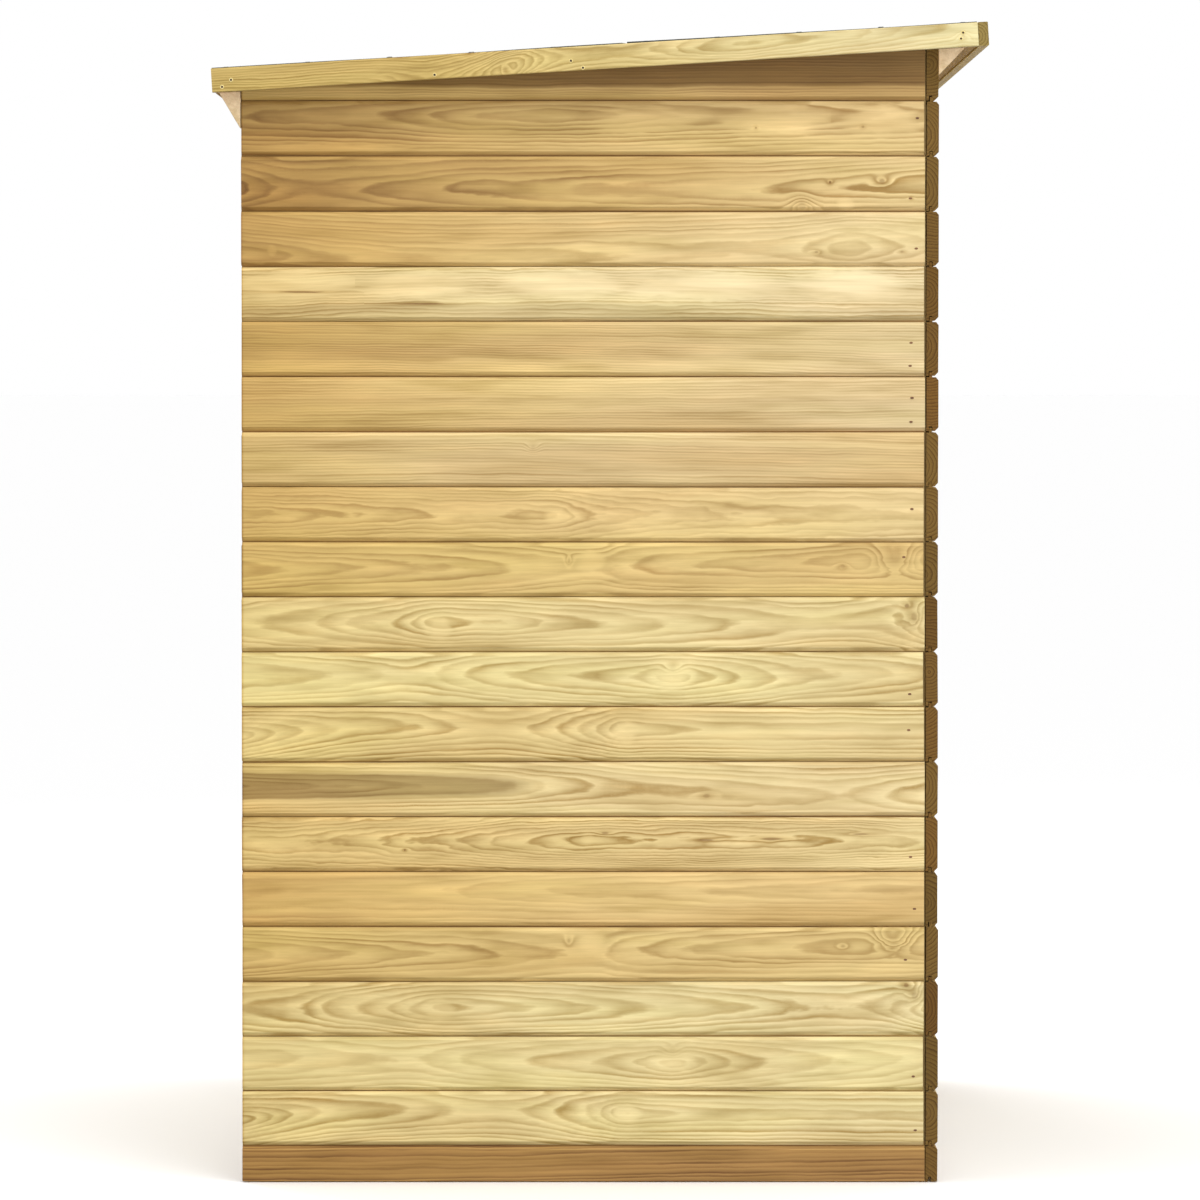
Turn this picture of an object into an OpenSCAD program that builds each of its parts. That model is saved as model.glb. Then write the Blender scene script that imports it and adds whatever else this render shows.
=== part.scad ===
// Wooden garden shed with a single-pitch roof.
// Walls of horizontal matched boards on a light square frame, a flat roof panel
// on battens, small triangular brackets under the two overhangs, and a ledged
// and braced door in the high front wall.
// Millimetres. +Z up. +X is the front, where the roof is highest; the left side
// wall faces -Y. The origin is on the ground under the middle of the outline.

/* [Walls] */
// Depth over the walls, back face to front face
wall_depth = 1114; // [1000:1:1300]
// Length over the walls, side face to side face
wall_length = 1830; // [1600:1:2100]
// Height of the roof battens above the ground, at the outer face of the back wall
back_height = 1746; // [1730:1:1900]
// Thickness of the wall boards
board_t = 19; // [16:1:22]
// Height of the bottom course of boards
first_course = 58; // [50:1:70]
// Cover height of every other course
course = 88; // [84:1:88]

/* [Frame] */
// Side of the square framing timber
frame = 34; // [28:1:38]
// Distance of each back stud from the middle of the back wall
back_stud_y = 300; // [200:1:400]

/* [Door] */
// Width of the doorway
door_w = 700; // [620:1:760]
// Number of courses that the doorway is high
door_courses = 18; // [14:1:18]
// Gap round the door leaf
door_gap = 4; // [3:1:5]
// How far the jambs and head stop the door leaf
door_stop = 10; // [8:1:14]
// Height of each ledge on the inside of the door
ledge_h = 90; // [70:1:110]
// Thickness of the ledges and braces
ledge_t = 15; // [12:1:15]
// Length of each hinge strap
strap_l = 300; // [250:1:340]

/* [Roof] */
// Slope of the roof in degrees
roof_pitch = 3.46; // [3:0.02:5]
// Overhang past the back wall
low_overhang = 43; // [36:1:60]
// Overhang past the front wall, to the back of the front fascia
high_overhang = 62; // [52:1:80]
// Overhang past each side wall, to the back of the bargeboard
side_overhang = 30; // [20:1:50]
// Width of each roof batten
batten_w = 28; // [24:1:34]
// Height of each roof batten
batten_h = 19; // [16:1:22]
// Thickness of the roof deck
deck_t = 15; // [12:1:18]
// Thickness of the roofing felt
felt_t = 2; // [2:1:3]
// Thickness of the bargeboards and fascia
trim_t = 16; // [14:1:20]
// How far the bargeboards hang below the battens
trim_drop = 2; // [1:1:6]

/* [Brackets] */
// Thickness of every bracket
bracket_t = 28; // [20:1:34]
// Reach of the back brackets from the wall
back_bracket_w = 35; // [28:1:36]
// Height of the back brackets on the wall
back_bracket_h = 60; // [40:1:70]
// Reach of the front brackets from the wall
front_bracket_w = 42; // [34:1:50]
// Height of the front brackets on the wall
front_bracket_h = 42; // [36:1:70]

/* [Hidden] */

pine = [0.85, 0.74, 0.50];
pine_frame = [0.80, 0.68, 0.44];
pine_trim = [0.84, 0.72, 0.43];
pine_pale = [0.86, 0.72, 0.56];
felt_grey = [0.23, 0.24, 0.23];
iron = [0.09, 0.09, 0.09];

ct = cos(roof_pitch);
st = sin(roof_pitch);
tt = tan(roof_pitch);

// Heights above the underside of the roof battens, square to the roof
deck_w = batten_h;
felt_w = deck_w + deck_t;
top_w = felt_w + felt_t;
trim_h = top_w + trim_drop;

// The outline is centred on the origin
out_lo = -low_overhang - top_w * st;
out_hi = wall_depth + high_overhang + trim_t * ct + trim_drop * st;
xb = -(out_lo + out_hi) / 2;      // outer face of the back wall
xf = xb + wall_depth;             // outer face of the front wall
yl = -wall_length / 2;            // outer face of the left side wall
yr = wall_length / 2;

// Distances up the slope from the back wall's outer face
u_lo = -low_overhang / ct;
u_hi = (wall_depth + high_overhang) / ct;
u_front = wall_depth / ct;
roof_y = wall_length + 2 * side_overhang;

door_z0 = first_course;
door_z1 = first_course + course * door_courses;
dy = door_w / 2;
leaf_y = dy - door_gap;
leaf_z0 = door_z0 + door_gap;
leaf_z1 = door_z1 - door_gap;
x_in = xf - board_t;              // inner face of the front wall
ledge_y = dy - door_stop - 8;
ledge_zs = [leaf_z0 + 110, (leaf_z0 + leaf_z1) / 2 - ledge_h / 2, leaf_z1 - 110 - ledge_h];

// Height of the roof battens' underside at x
function under_roof(x) = back_height + (x - xb) * tt;

// Places children in the roof's own frame: X up the slope, Z square to it
module on_roof() translate([xb, 0, back_height]) rotate([0, -roof_pitch, 0]) children();

// A block from corner a to corner b
module block(a, b) translate(a) cube(b - a);

// A block that runs up to the roof, w below the battens' underside. A wall
// stands past the battens, up to the deck
module block_to_roof(a, b, w = 0) {
  difference() {
    block(a, [b[0], b[1], back_height + wall_depth * tt + 60]);
    on_roof() translate([-300, -wall_length, -w]) cube([wall_depth + 600, 2 * wall_length, 400]);
  }
}

// A sloping rail under the roof, with plumb ends
module sloping_rail(x0, x1, y0) {
  intersection() {
    on_roof() translate([-50, y0, -frame]) cube([wall_depth + 100, frame, frame]);
    block([x0, y0 - 5, 0], [x1, y0 + frame + 5, 2 * back_height]);
  }
}

// A solid with its outline drawn in X and Z, from y0 to y0 + t
module plate_xz(points, y0, t) {
  translate([0, y0 + t, 0]) rotate([90, 0, 0]) linear_extrude(t) polygon(points);
}

// A solid with its outline drawn in Y and Z, from x0 to x0 + t
module plate_yz(points, x0, t) {
  translate([x0, 0, 0]) rotate([90, 0, 90]) linear_extrude(t) polygon(points);
}

// ---- walls ----
module side_wall(y0) {
  color(pine) block_to_roof([xb, y0, 0], [x_in, y0 + board_t, 0], -batten_h);
}
module left_side_wall() side_wall(yl);
module right_side_wall() side_wall(yr - board_t);
module back_wall() {
  color(pine) block_to_roof([xb, yl + board_t, 0], [xb + board_t, yr - board_t, 0], -batten_h);
}
module front_wall_left() {
  color(pine) block([x_in, yl, door_z0], [xf, -dy, door_z1]);
}
module front_wall_right() {
  color(pine) block([x_in, dy, door_z0], [xf, yr, door_z1]);
}
module front_wall_top() {
  color(pine) block_to_roof([x_in, yl, door_z1], [xf, yr, 0], -batten_h);
}
module front_sill() {
  color(pine) block([x_in, yl, 0], [xf, yr, door_z0]);
}

// ---- frame ----
module corner_post(x0, y0) {
  color(pine_frame) block_to_roof([x0, y0, 0], [x0 + frame, y0 + frame, 0]);
}
post_xb = xb + board_t;
post_xf = x_in - frame;
post_yl = yl + board_t;
post_yr = yr - board_t - frame;
module corner_post_back_left() corner_post(post_xb, post_yl);
module corner_post_back_right() corner_post(post_xb, post_yr);
module corner_post_front_left() corner_post(post_xf, post_yl);
module corner_post_front_right() corner_post(post_xf, post_yr);

module side_bottom_rail(y0) {
  color(pine_frame) block([post_xb + frame, y0, 0], [post_xf, y0 + frame, frame]);
}
module left_bottom_rail() side_bottom_rail(post_yl);
module right_bottom_rail() side_bottom_rail(post_yr);
module long_bottom_rail(x0) {
  color(pine_frame) block([x0, post_yl + frame, 0], [x0 + frame, post_yr, frame]);
}
module back_bottom_rail() long_bottom_rail(post_xb);
module front_bottom_rail() long_bottom_rail(post_xf);

module left_top_rail() color(pine_frame) sloping_rail(post_xb + frame, post_xf, post_yl);
module right_top_rail() color(pine_frame) sloping_rail(post_xb + frame, post_xf, post_yr);
back_rail_z = under_roof(post_xb) - frame;
front_rail_z = under_roof(post_xf) - frame;
module back_top_rail() {
  color(pine_frame) block_to_roof([post_xb, post_yl + frame, back_rail_z], [post_xb + frame, post_yr, 0]);
}
module front_top_rail() {
  color(pine_frame) block_to_roof([post_xf, post_yl + frame, front_rail_z], [post_xf + frame, post_yr, 0]);
}

side_stud_x = (post_xb + post_xf) / 2;
module side_stud(y0) {
  color(pine_frame) block_to_roof([side_stud_x, y0, frame], [side_stud_x + frame, y0 + frame, 0], frame);
}
module left_stud() side_stud(post_yl);
module right_stud() side_stud(post_yr);
module back_studs() {
  color(pine_frame) for (s = [-1, 1])
    block([post_xb, s * back_stud_y - frame / 2, frame], [post_xb + frame, s * back_stud_y + frame / 2, back_rail_z]);
}

module door_jamb(y0) {
  color(pine_frame) block([post_xf, y0, frame], [post_xf + frame, y0 + frame, front_rail_z]);
}
module door_jamb_left() door_jamb(-dy + door_stop - frame);
module door_jamb_right() door_jamb(dy - door_stop);
module door_head() {
  color(pine_frame) block([post_xf, -dy + door_stop, door_z1 - door_stop], [post_xf + frame, dy - door_stop, door_z1 - door_stop + frame]);
}

// ---- roof ----
edge_us = [u_lo, u_hi - batten_w];         // along the low and the high edge
inner_us = [
  (board_t + batten_h * st) / ct,         // behind the back wall
  u_front * 0.28 - batten_w / 2,
  u_front * 0.48 - batten_w / 2,
  u_front * 0.73 - batten_w / 2,
  (wall_depth - board_t) / ct - batten_w  // behind the front wall
];
inner_y = wall_length - 2 * board_t;      // between the side walls
module roof_battens() {
  color(pine_frame) on_roof() {
    for (u = edge_us) translate([u, -roof_y / 2, 0]) cube([batten_w, roof_y, batten_h]);
    for (u = inner_us) translate([u, -inner_y / 2, 0]) cube([batten_w, inner_y, batten_h]);
  }
}
module roof_deck() {
  color(pine) on_roof() translate([u_lo, -roof_y / 2, deck_w]) cube([u_hi - u_lo, roof_y, deck_t]);
}
module roof_felt() {
  color(felt_grey) on_roof() translate([u_lo, -roof_y / 2, felt_w]) cube([u_hi - u_lo, roof_y, felt_t]);
}
module bargeboard(y0) {
  color(pine_trim) on_roof() translate([u_lo, y0, -trim_drop]) cube([u_hi - u_lo, trim_t, trim_h]);
}
module left_bargeboard() bargeboard(-roof_y / 2 - trim_t);
module right_bargeboard() bargeboard(roof_y / 2);
module front_fascia() {
  color(pine_trim) on_roof() translate([u_hi, -roof_y / 2 - trim_t, -trim_drop]) cube([trim_t, roof_y + 2 * trim_t, trim_h]);
}

// ---- brackets ----
end_y = wall_length / 2 - 3;      // outer face of the end brackets
module back_bracket(y0) {
  color(pine_pale) plate_xz([
    [xb, under_roof(xb)],
    [xb - back_bracket_w, under_roof(xb - back_bracket_w)],
    [xb, under_roof(xb) - back_bracket_h]
  ], y0, bracket_t);
}
module front_bracket(y0) {
  color(pine_pale) plate_xz([
    [xf, under_roof(xf)],
    [xf, under_roof(xf) - front_bracket_h],
    [xf + front_bracket_w, under_roof(xf + front_bracket_w)]
  ], y0, bracket_t);
}
module bracket_back_left() back_bracket(-end_y);
module bracket_back_middle() back_bracket(-bracket_t / 2);
module bracket_back_right() back_bracket(end_y - bracket_t);
module bracket_front_left() front_bracket(-end_y);
module bracket_front_middle() front_bracket(-bracket_t / 2);
module bracket_front_right() front_bracket(end_y - bracket_t);

// ---- door ----
module door_leaf() {
  color(pine) block([x_in, -leaf_y, leaf_z0], [xf, leaf_y, leaf_z1]);
}
module door_ledges() {
  color(pine_frame) for (z = ledge_zs)
    block([x_in - ledge_t, -ledge_y, z], [x_in, ledge_y, z + ledge_h]);
}
// Each brace rises from the hinge side, between two ledges
module door_braces() {
  foot = 110;
  color(pine_frame) for (i = [0, 1])
    plate_yz([
      [-ledge_y + 20, ledge_zs[i] + ledge_h],
      [-ledge_y + 20 + foot, ledge_zs[i] + ledge_h],
      [ledge_y - 20, ledge_zs[i + 1]],
      [ledge_y - 20 - foot, ledge_zs[i + 1]]
    ], x_in - ledge_t, ledge_t);
}

// A strap hinge: plate on the wall, knuckle over the gap, tapered strap on the door
hinge_t = 3;
knuckle_r = 5;
module hinge(z) {
  yk = -dy + door_gap / 2;
  color(iron) {
    plate_yz([[yk - 42, z - 55], [yk, z - 55], [yk, z + 55], [yk - 42, z + 55]], xf, hinge_t);
    plate_yz([[yk, z - 21], [yk + strap_l - 14, z - 11], [yk + strap_l, z], [yk + strap_l - 14, z + 11], [yk, z + 21]], xf, hinge_t);
    translate([xf + knuckle_r, yk, z - 55]) cylinder(h = 110, r = knuckle_r, $fn = 48);
  }
}
module hinge_top() hinge(ledge_zs[2] + ledge_h / 2);
module hinge_bottom() hinge(ledge_zs[0] + ledge_h / 2);

// A sliding bolt on the leaf and the keep that it enters on the wall
bolt_z = ledge_zs[1] + ledge_h / 2;
bolt_r = 6;
module door_bolt() {
  color(iron) {
    block([xf, leaf_y - 130, bolt_z - 18], [xf + 3, leaf_y - 8, bolt_z + 18]);
    for (y = [leaf_y - 122, leaf_y - 34])
      block([xf + 2, y, bolt_z - 12], [xf + 18, y + 18, bolt_z + 12]);
    translate([xf + 10, leaf_y - 128, bolt_z]) rotate([-90, 0, 0]) cylinder(h = 162, r = bolt_r, $fn = 48);
    translate([xf + 10, leaf_y - 70, bolt_z]) rotate([0, 90, 0]) cylinder(h = 26, r = 5, $fn = 48);
  }
}
module bolt_keep() {
  color(iron) difference() {
    union() {
      block([xf, dy + 4, bolt_z - 18], [xf + 3, dy + 42, bolt_z + 18]);
      block([xf + 2, dy + 12, bolt_z - 12], [xf + 20, dy + 28, bolt_z + 12]);
    }
    translate([xf + 10, dy, bolt_z]) rotate([-90, 0, 0]) cylinder(h = 50, r = bolt_r + 0.6, $fn = 48);
  }
}

left_side_wall();
right_side_wall();
back_wall();
front_wall_left();
front_wall_right();
front_wall_top();
front_sill();
corner_post_back_left();
corner_post_back_right();
corner_post_front_left();
corner_post_front_right();
left_bottom_rail();
right_bottom_rail();
back_bottom_rail();
front_bottom_rail();
left_top_rail();
right_top_rail();
back_top_rail();
front_top_rail();
left_stud();
right_stud();
back_studs();
door_jamb_left();
door_jamb_right();
door_head();
roof_battens();
roof_deck();
roof_felt();
left_bargeboard();
right_bargeboard();
front_fascia();
bracket_back_left();
bracket_back_middle();
bracket_back_right();
bracket_front_left();
bracket_front_middle();
bracket_front_right();
door_leaf();
door_ledges();
door_braces();
hinge_top();
hinge_bottom();
door_bolt();
bolt_keep();
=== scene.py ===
import math
import random

import bmesh
import bpy
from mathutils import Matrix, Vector


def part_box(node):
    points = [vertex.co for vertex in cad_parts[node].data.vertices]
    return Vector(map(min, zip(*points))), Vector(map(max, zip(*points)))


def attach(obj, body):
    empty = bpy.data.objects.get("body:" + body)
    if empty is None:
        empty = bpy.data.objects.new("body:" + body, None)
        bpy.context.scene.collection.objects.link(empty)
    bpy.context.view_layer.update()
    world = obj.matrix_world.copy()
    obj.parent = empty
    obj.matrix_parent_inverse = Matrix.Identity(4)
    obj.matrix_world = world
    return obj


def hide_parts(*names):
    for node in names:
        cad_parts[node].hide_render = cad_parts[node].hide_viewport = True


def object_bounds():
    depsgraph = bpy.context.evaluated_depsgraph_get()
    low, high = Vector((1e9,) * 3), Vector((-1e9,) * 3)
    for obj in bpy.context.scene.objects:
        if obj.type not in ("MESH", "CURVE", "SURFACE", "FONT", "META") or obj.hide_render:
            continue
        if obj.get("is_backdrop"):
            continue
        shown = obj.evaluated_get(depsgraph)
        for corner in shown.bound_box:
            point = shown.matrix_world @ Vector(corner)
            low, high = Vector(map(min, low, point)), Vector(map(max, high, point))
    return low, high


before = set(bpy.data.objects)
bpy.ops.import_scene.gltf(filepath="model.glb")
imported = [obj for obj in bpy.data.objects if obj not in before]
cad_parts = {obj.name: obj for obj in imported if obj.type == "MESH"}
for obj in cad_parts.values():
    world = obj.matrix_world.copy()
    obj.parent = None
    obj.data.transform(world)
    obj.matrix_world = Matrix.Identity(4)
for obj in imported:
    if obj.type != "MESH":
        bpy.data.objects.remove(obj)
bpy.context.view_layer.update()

# ---------------------------------------------------------------- frame sizes
# Everything is in metres, in the CAD frame: +Z up, +X the high front with the
# door, -Y the side wall that the photo shows.
T = 0.019                                   # board thickness
FIRST, COVER = 0.058, 0.088                 # bottom course and the others
WALL_LO, WALL_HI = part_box("left_side_wall")
XB, X_IN, YL = WALL_LO.x, WALL_HI.x, WALL_LO.y
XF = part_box("front_sill")[1].x
YR = -YL
BACK_H = 1.746
PITCH = math.radians(3.46)
CT, ST, TT = math.cos(PITCH), math.sin(PITCH), math.tan(PITCH)
LEAF_LO, LEAF_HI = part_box("door_leaf")
DOOR_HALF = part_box("front_wall_right")[0].y
DOOR_Z0, DOOR_Z1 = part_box("front_wall_right")[0].z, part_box("front_wall_right")[1].z
ROOF_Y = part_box("roof_deck")[1].y
U_LO = (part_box("roof_deck")[0].x - XB + 0.034 * ST) / CT
U_HI = (1.114 + 0.062) / CT
TRIM_T, TRIM_DROP, TOP_W = 0.016, 0.002, 0.036
PX = 0.0016                                 # one photo pixel on the near wall


def under_roof(x):
    """Height of the battens' underside at x."""
    return BACK_H + (x - XB) * TT


def under_deck(x):
    """Height of the deck's underside at x, where the walls end."""
    return under_roof(x) + 0.019 / CT - 0.0006


def roof(u, y, w):
    """A point u up the slope from the back wall, w above the battens' underside."""
    return (XB + u * CT - w * ST, y, BACK_H + u * ST + w * CT)


# ------------------------------------------------------------------- materials
def tint(r, g, b, k=1.0):
    def lin(c):
        c /= 255.0
        return (c / 12.92 if c <= 0.04045 else ((c + 0.055) / 1.055) ** 2.4) * k
    return (lin(r), lin(g), lin(b), 1.0)


class Graph:
    """Short names for the shader nodes that the materials are made of."""

    def __init__(self, name):
        self.mat = bpy.data.materials.new(name)
        self.mat.use_nodes = True
        self.tree = self.mat.node_tree
        self.tree.nodes.clear()
        self.out = self.node("ShaderNodeOutputMaterial")
        self.bsdf = self.node("ShaderNodeBsdfPrincipled")
        self.tree.links.new(self.bsdf.outputs[0], self.out.inputs[0])

    def node(self, kind):
        return self.tree.nodes.new(kind)

    def put(self, socket, value):
        if isinstance(value, bpy.types.NodeSocket):
            self.tree.links.new(value, socket)
        else:
            socket.default_value = value

    def math(self, op, a, b=None, clamp=False):
        n = self.node("ShaderNodeMath")
        n.operation, n.use_clamp = op, clamp
        self.put(n.inputs[0], a)
        if b is not None:
            self.put(n.inputs[1], b)
        return n.outputs[0]

    def add(self, a, b):
        return self.math("ADD", a, b)

    def sub(self, a, b):
        return self.math("SUBTRACT", a, b)

    def mul(self, a, b):
        return self.math("MULTIPLY", a, b)

    def sep(self, v):
        n = self.node("ShaderNodeSeparateXYZ")
        self.put(n.inputs[0], v)
        return n.outputs[0], n.outputs[1], n.outputs[2]

    def vec(self, x, y, z):
        n = self.node("ShaderNodeCombineXYZ")
        for i, value in enumerate((x, y, z)):
            self.put(n.inputs[i], value)
        return n.outputs[0]

    def attr(self, name):
        n = self.node("ShaderNodeAttribute")
        n.attribute_type, n.attribute_name = "GEOMETRY", name
        return n.outputs["Vector"]

    def place(self):
        return self.node("ShaderNodeTexCoord").outputs["Object"]

    def noise(self, v, scale=1.0, detail=2.0, rough=0.5):
        n = self.node("ShaderNodeTexNoise")
        self.put(n.inputs["Vector"], v)
        n.inputs["Scale"].default_value = scale
        n.inputs["Detail"].default_value = detail
        n.inputs["Roughness"].default_value = rough
        return n.outputs[0]

    def white(self, w):
        n = self.node("ShaderNodeTexWhiteNoise")
        n.noise_dimensions = "1D"
        self.put(n.inputs["W"], w)
        return n.outputs["Value"]

    def ramp(self, fac, stops, mode="LINEAR"):
        n = self.node("ShaderNodeValToRGB")
        r = n.color_ramp
        r.interpolation = mode
        while len(r.elements) > 1:
            r.elements.remove(r.elements[-1])
        for i, (p, c) in enumerate(stops):
            e = r.elements[0] if i == 0 else r.elements.new(p)
            e.position = p
            e.color = c if not isinstance(c, (int, float)) else (c, c, c, 1.0)
        self.put(n.inputs[0], fac)
        return n.outputs[0]

    def mix(self, fac, a, b, mode="MIX"):
        n = self.node("ShaderNodeMix")
        n.data_type, n.blend_type, n.clamp_factor = "RGBA", mode, True
        self.put(n.inputs[0], fac)
        self.put(n.inputs[6], a)
        self.put(n.inputs[7], b)
        return n.outputs[2]

    def span(self, v, a, b, c, d, smooth=False):
        n = self.node("ShaderNodeMapRange")
        n.interpolation_type = "SMOOTHSTEP" if smooth else "LINEAR"
        n.clamp = True
        self.put(n.inputs["Value"], v)
        for i, value in enumerate((a, b, c, d)):
            self.put(n.inputs[i + 1], value)
        return n.outputs[0]

    def bump(self, height, strength, distance):
        n = self.node("ShaderNodeBump")
        n.inputs["Strength"].default_value = strength
        n.inputs["Distance"].default_value = distance
        self.put(n.inputs["Height"], height)
        self.put(self.bsdf.inputs["Normal"], n.outputs[0])


# Tones of the treated pine, pale wood then the dark wood of each year's ring
EARLY = [(0.0, tint(250, 230, 177)), (0.35, tint(242, 213, 150)), (0.65, tint(226, 191, 123)), (1.0, tint(184, 143, 84))]
LATE = [(0.0, tint(184, 151, 83)), (0.35, tint(176, 139, 74)), (0.65, tint(160, 119, 63)), (1.0, tint(122, 83, 43))]
TRIM_EARLY = [(0.0, tint(242, 227, 176)), (0.5, tint(227, 197, 122)), (1.0, tint(208, 177, 104))]
TRIM_LATE = [(0.0, tint(212, 186, 122)), (0.5, tint(172, 139, 68)), (1.0, tint(146, 114, 54))]
GAIN = 0.775


def wood(name, early=EARLY, late=LATE, fibre=0.13, rough=0.62, relief=0.30, speckle=0.0, gain=GAIN, ends=((146, 114, 58), (98, 69, 30))):
    """Pine with year rings round a pith that the piece's own attributes place, bent round knots, with fibres along the grain and dark end grain."""
    g = Graph(name)
    u, a, b = g.sep(g.attr("grain"))
    tone, heart, cut = g.sep(g.attr("tone"))
    pace, force, seed = g.sep(g.attr("make"))
    core_a, core_b, wander = g.sep(g.attr("dark"))
    depth, warm, painted_light_tint = g.sep(g.attr("mood"))
    lanes = [(g.sep(g.attr("knot")), core_a), (g.sep(g.attr("bend")), core_b)]

    def along(x, y):
        """Noise coordinates, stretched along the grain."""
        return g.vec(g.mul(u, x), g.mul(a, y), g.mul(b, y))

    slow = g.sub(g.noise(along(2.6, 11.0), 1.0, 1.5), 0.5)
    wave = g.sub(g.noise(along(9.0, 30.0), 1.0, 1.5), 0.5)
    quick = g.sub(g.noise(along(26.0, 90.0), 1.0, 2.0), 0.5)
    r = g.math("SQRT", g.add(g.mul(a, a), g.mul(b, b)))
    r = g.add(r, g.mul(slow, 0.010))
    r = g.add(r, g.mul(wander, g.add(g.mul(wave, 0.0050), g.mul(quick, 0.0026))))
    eyes = []
    for (du, dv, ks), core in lanes:
        ku = g.add(g.math("DIVIDE", du, g.mul(ks, 2.5)), g.mul(wave, 0.5))
        kv = g.add(g.math("DIVIDE", dv, ks), g.mul(quick, 0.6))
        near = g.math("EXPONENT", g.mul(g.add(g.mul(ku, ku), g.mul(kv, kv)), -1.0))
        r = g.add(r, g.mul(g.mul(g.mul(near, ks), 0.9), g.math("GREATER_THAN", core, -0.001)))
        eyes.append((g.math("SQRT", g.add(g.mul(g.mul(ku, ku), 9.0), g.mul(g.mul(kv, kv), 3.3))), core))

    phase = g.math("DIVIDE", r, pace)
    phase = g.add(phase, g.mul(g.sub(g.noise(g.vec(g.mul(seed, 40.0), 0.0, g.mul(r, 70.0)), 1.0, 1.0), 0.5), 1.6))
    ring = g.math("FRACT", phase)
    year = g.math("FLOOR", phase)
    strong = g.add(g.mul(g.white(g.add(year, g.mul(seed, 91.0))), 0.62), 0.38)
    patch = g.span(g.noise(along(4.5, 34.0), 1.0, 1.5), 0.30, 0.64, 0.40, 1.0)
    band = g.mul(g.mul(g.ramp(ring, [(0.0, 0.0), (0.22, 0.10), (0.52, 0.46), (0.74, 0.80), (0.86, 0.66), (1.0, 0.0)]), g.mul(strong, force)), patch)
    # a branch just under the face leaves a pale place without rings
    for eye, core in eyes:
        band = g.mul(band, g.sub(1.0, g.mul(g.span(eye, 0.70, 1.30, 1.0, 0.0, True), g.math("MAXIMUM", g.mul(core, -1.0), 0.0))))

    colour = g.mix(band, g.ramp(tone, early), g.ramp(tone, late))
    # brown heartwood inside the heart radius
    brown = g.span(g.sub(r, heart), -0.0040, 0.0030, 1.0, 0.0, True)
    colour = g.mix(g.mul(brown, depth), colour, (0.40, 0.33, 0.23, 1.0), "MULTIPLY")
    colour = g.mix(warm, colour, (1.0, 0.88, 0.84, 1.0), "MULTIPLY")
    colour = g.mix(g.mul(warm, -1.0), colour, (0.96, 1.0, 0.82, 1.0), "MULTIPLY")
    # painted light: cream tints the wood cooler and bluer above zero and warmer and yellower below zero, a painted
    # light tint along the near wall
    colour = g.mix(painted_light_tint, colour, (1.0, 1.01, 1.07, 1.0), "MULTIPLY")
    colour = g.mix(g.mul(painted_light_tint, -1.0), colour, (1.0, 0.98, 0.86, 1.0), "MULTIPLY")
    # drifts of lighter, greener and redder wood
    drift = g.noise(along(1.9, 16.0), 1.0, 2.0)
    colour = g.mix(g.span(drift, 0.46, 0.70, 0.0, 0.75), colour, (1.04, 1.08, 0.98, 1.0), "MULTIPLY")
    colour = g.mix(g.span(drift, 0.52, 0.28, 0.0, 0.75), colour, (0.87, 0.81, 0.70, 1.0), "MULTIPLY")
    cloud = g.noise(along(6.0, 48.0), 1.0, 2.0)
    colour = g.mix(g.span(cloud, 0.52, 0.74, 0.0, 0.9), colour, (1.15, 1.14, 1.16, 1.0), "MULTIPLY")
    colour = g.mix(g.span(cloud, 0.48, 0.26, 0.0, 0.9), colour, (0.80, 0.77, 0.68, 1.0), "MULTIPLY")
    # long fibres
    thread = g.noise(along(9.0, 330.0), 1.0, 2.5, 0.65)
    streak = g.noise(along(2.4, 110.0), 1.0, 2.0, 0.6)
    shade = g.add(g.mul(g.sub(thread, 0.5), fibre * 2.0), g.mul(g.sub(streak, 0.5), fibre * 2.0))
    grey = g.add(shade, 1.0)
    colour = g.mix(1.0, colour, g.vec(grey, g.add(g.mul(shade, 1.1), 1.0), g.add(g.mul(shade, 1.4), 1.0)), "MULTIPLY")
    # knots: a ringed brown core and a stain round it
    for eye, core in eyes:
        within = g.mul(g.span(eye, 0.45, 1.15, 1.0, 0.0, True), core)
        stain = g.mul(g.span(eye, 0.6, 3.4, 1.0, 0.0, True), g.mul(core, 0.9))
        pale = g.mul(g.span(eye, 0.2, 1.3, 1.0, 0.0, True), g.mul(core, -0.8))
        colour = g.mix(pale, colour, (1.16, 1.16, 1.20, 1.0), "MULTIPLY")
        whorl = g.math("FRACT", g.mul(g.add(eye, g.mul(quick, 0.6)), 3.2))
        colour = g.mix(stain, colour, (0.72, 0.63, 0.48, 1.0), "MULTIPLY")
        colour = g.mix(within, colour, g.mix(whorl, tint(150, 108, 60), tint(112, 74, 38)))
    if speckle:
        fleck = g.noise(g.place(), 700.0, 2.0, 0.6)
        colour = g.mix(g.span(fleck, 0.54, 0.72, 0.0, speckle), colour, (0.58, 0.46, 0.38, 1.0), "MULTIPLY")
    # end grain drinks the preservative and is darker
    pores = g.noise(g.place(), 900.0, 2.0, 0.6)
    end = g.mix(g.ramp(ring, [(0.0, 0.0), (0.6, 0.35), (0.86, 1.0), (1.0, 0.0)]), tint(*ends[0]), tint(*ends[1]))
    end = g.mix(g.span(g.white(g.add(g.mul(seed, 17.0), 3.7)), 0.45, 1.0, 0.0, 1.0), end, (1.0, 0.83, 0.74, 1.0), "MULTIPLY")
    end = g.mix(g.span(g.white(g.add(g.mul(seed, 23.0), 8.1)), 0.3, 1.0, 0.0, 1.0), end, (0.72, 0.72, 0.68, 1.0), "MULTIPLY")
    end = g.mix(g.span(pores, 0.42, 0.70, 0.0, 0.9), end, (0.55, 0.52, 0.48, 1.0), "MULTIPLY")
    colour = g.mix(cut, colour, end)
    colour = g.mix(1.0, colour, (gain, gain, gain, 1.0), "MULTIPLY")

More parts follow.
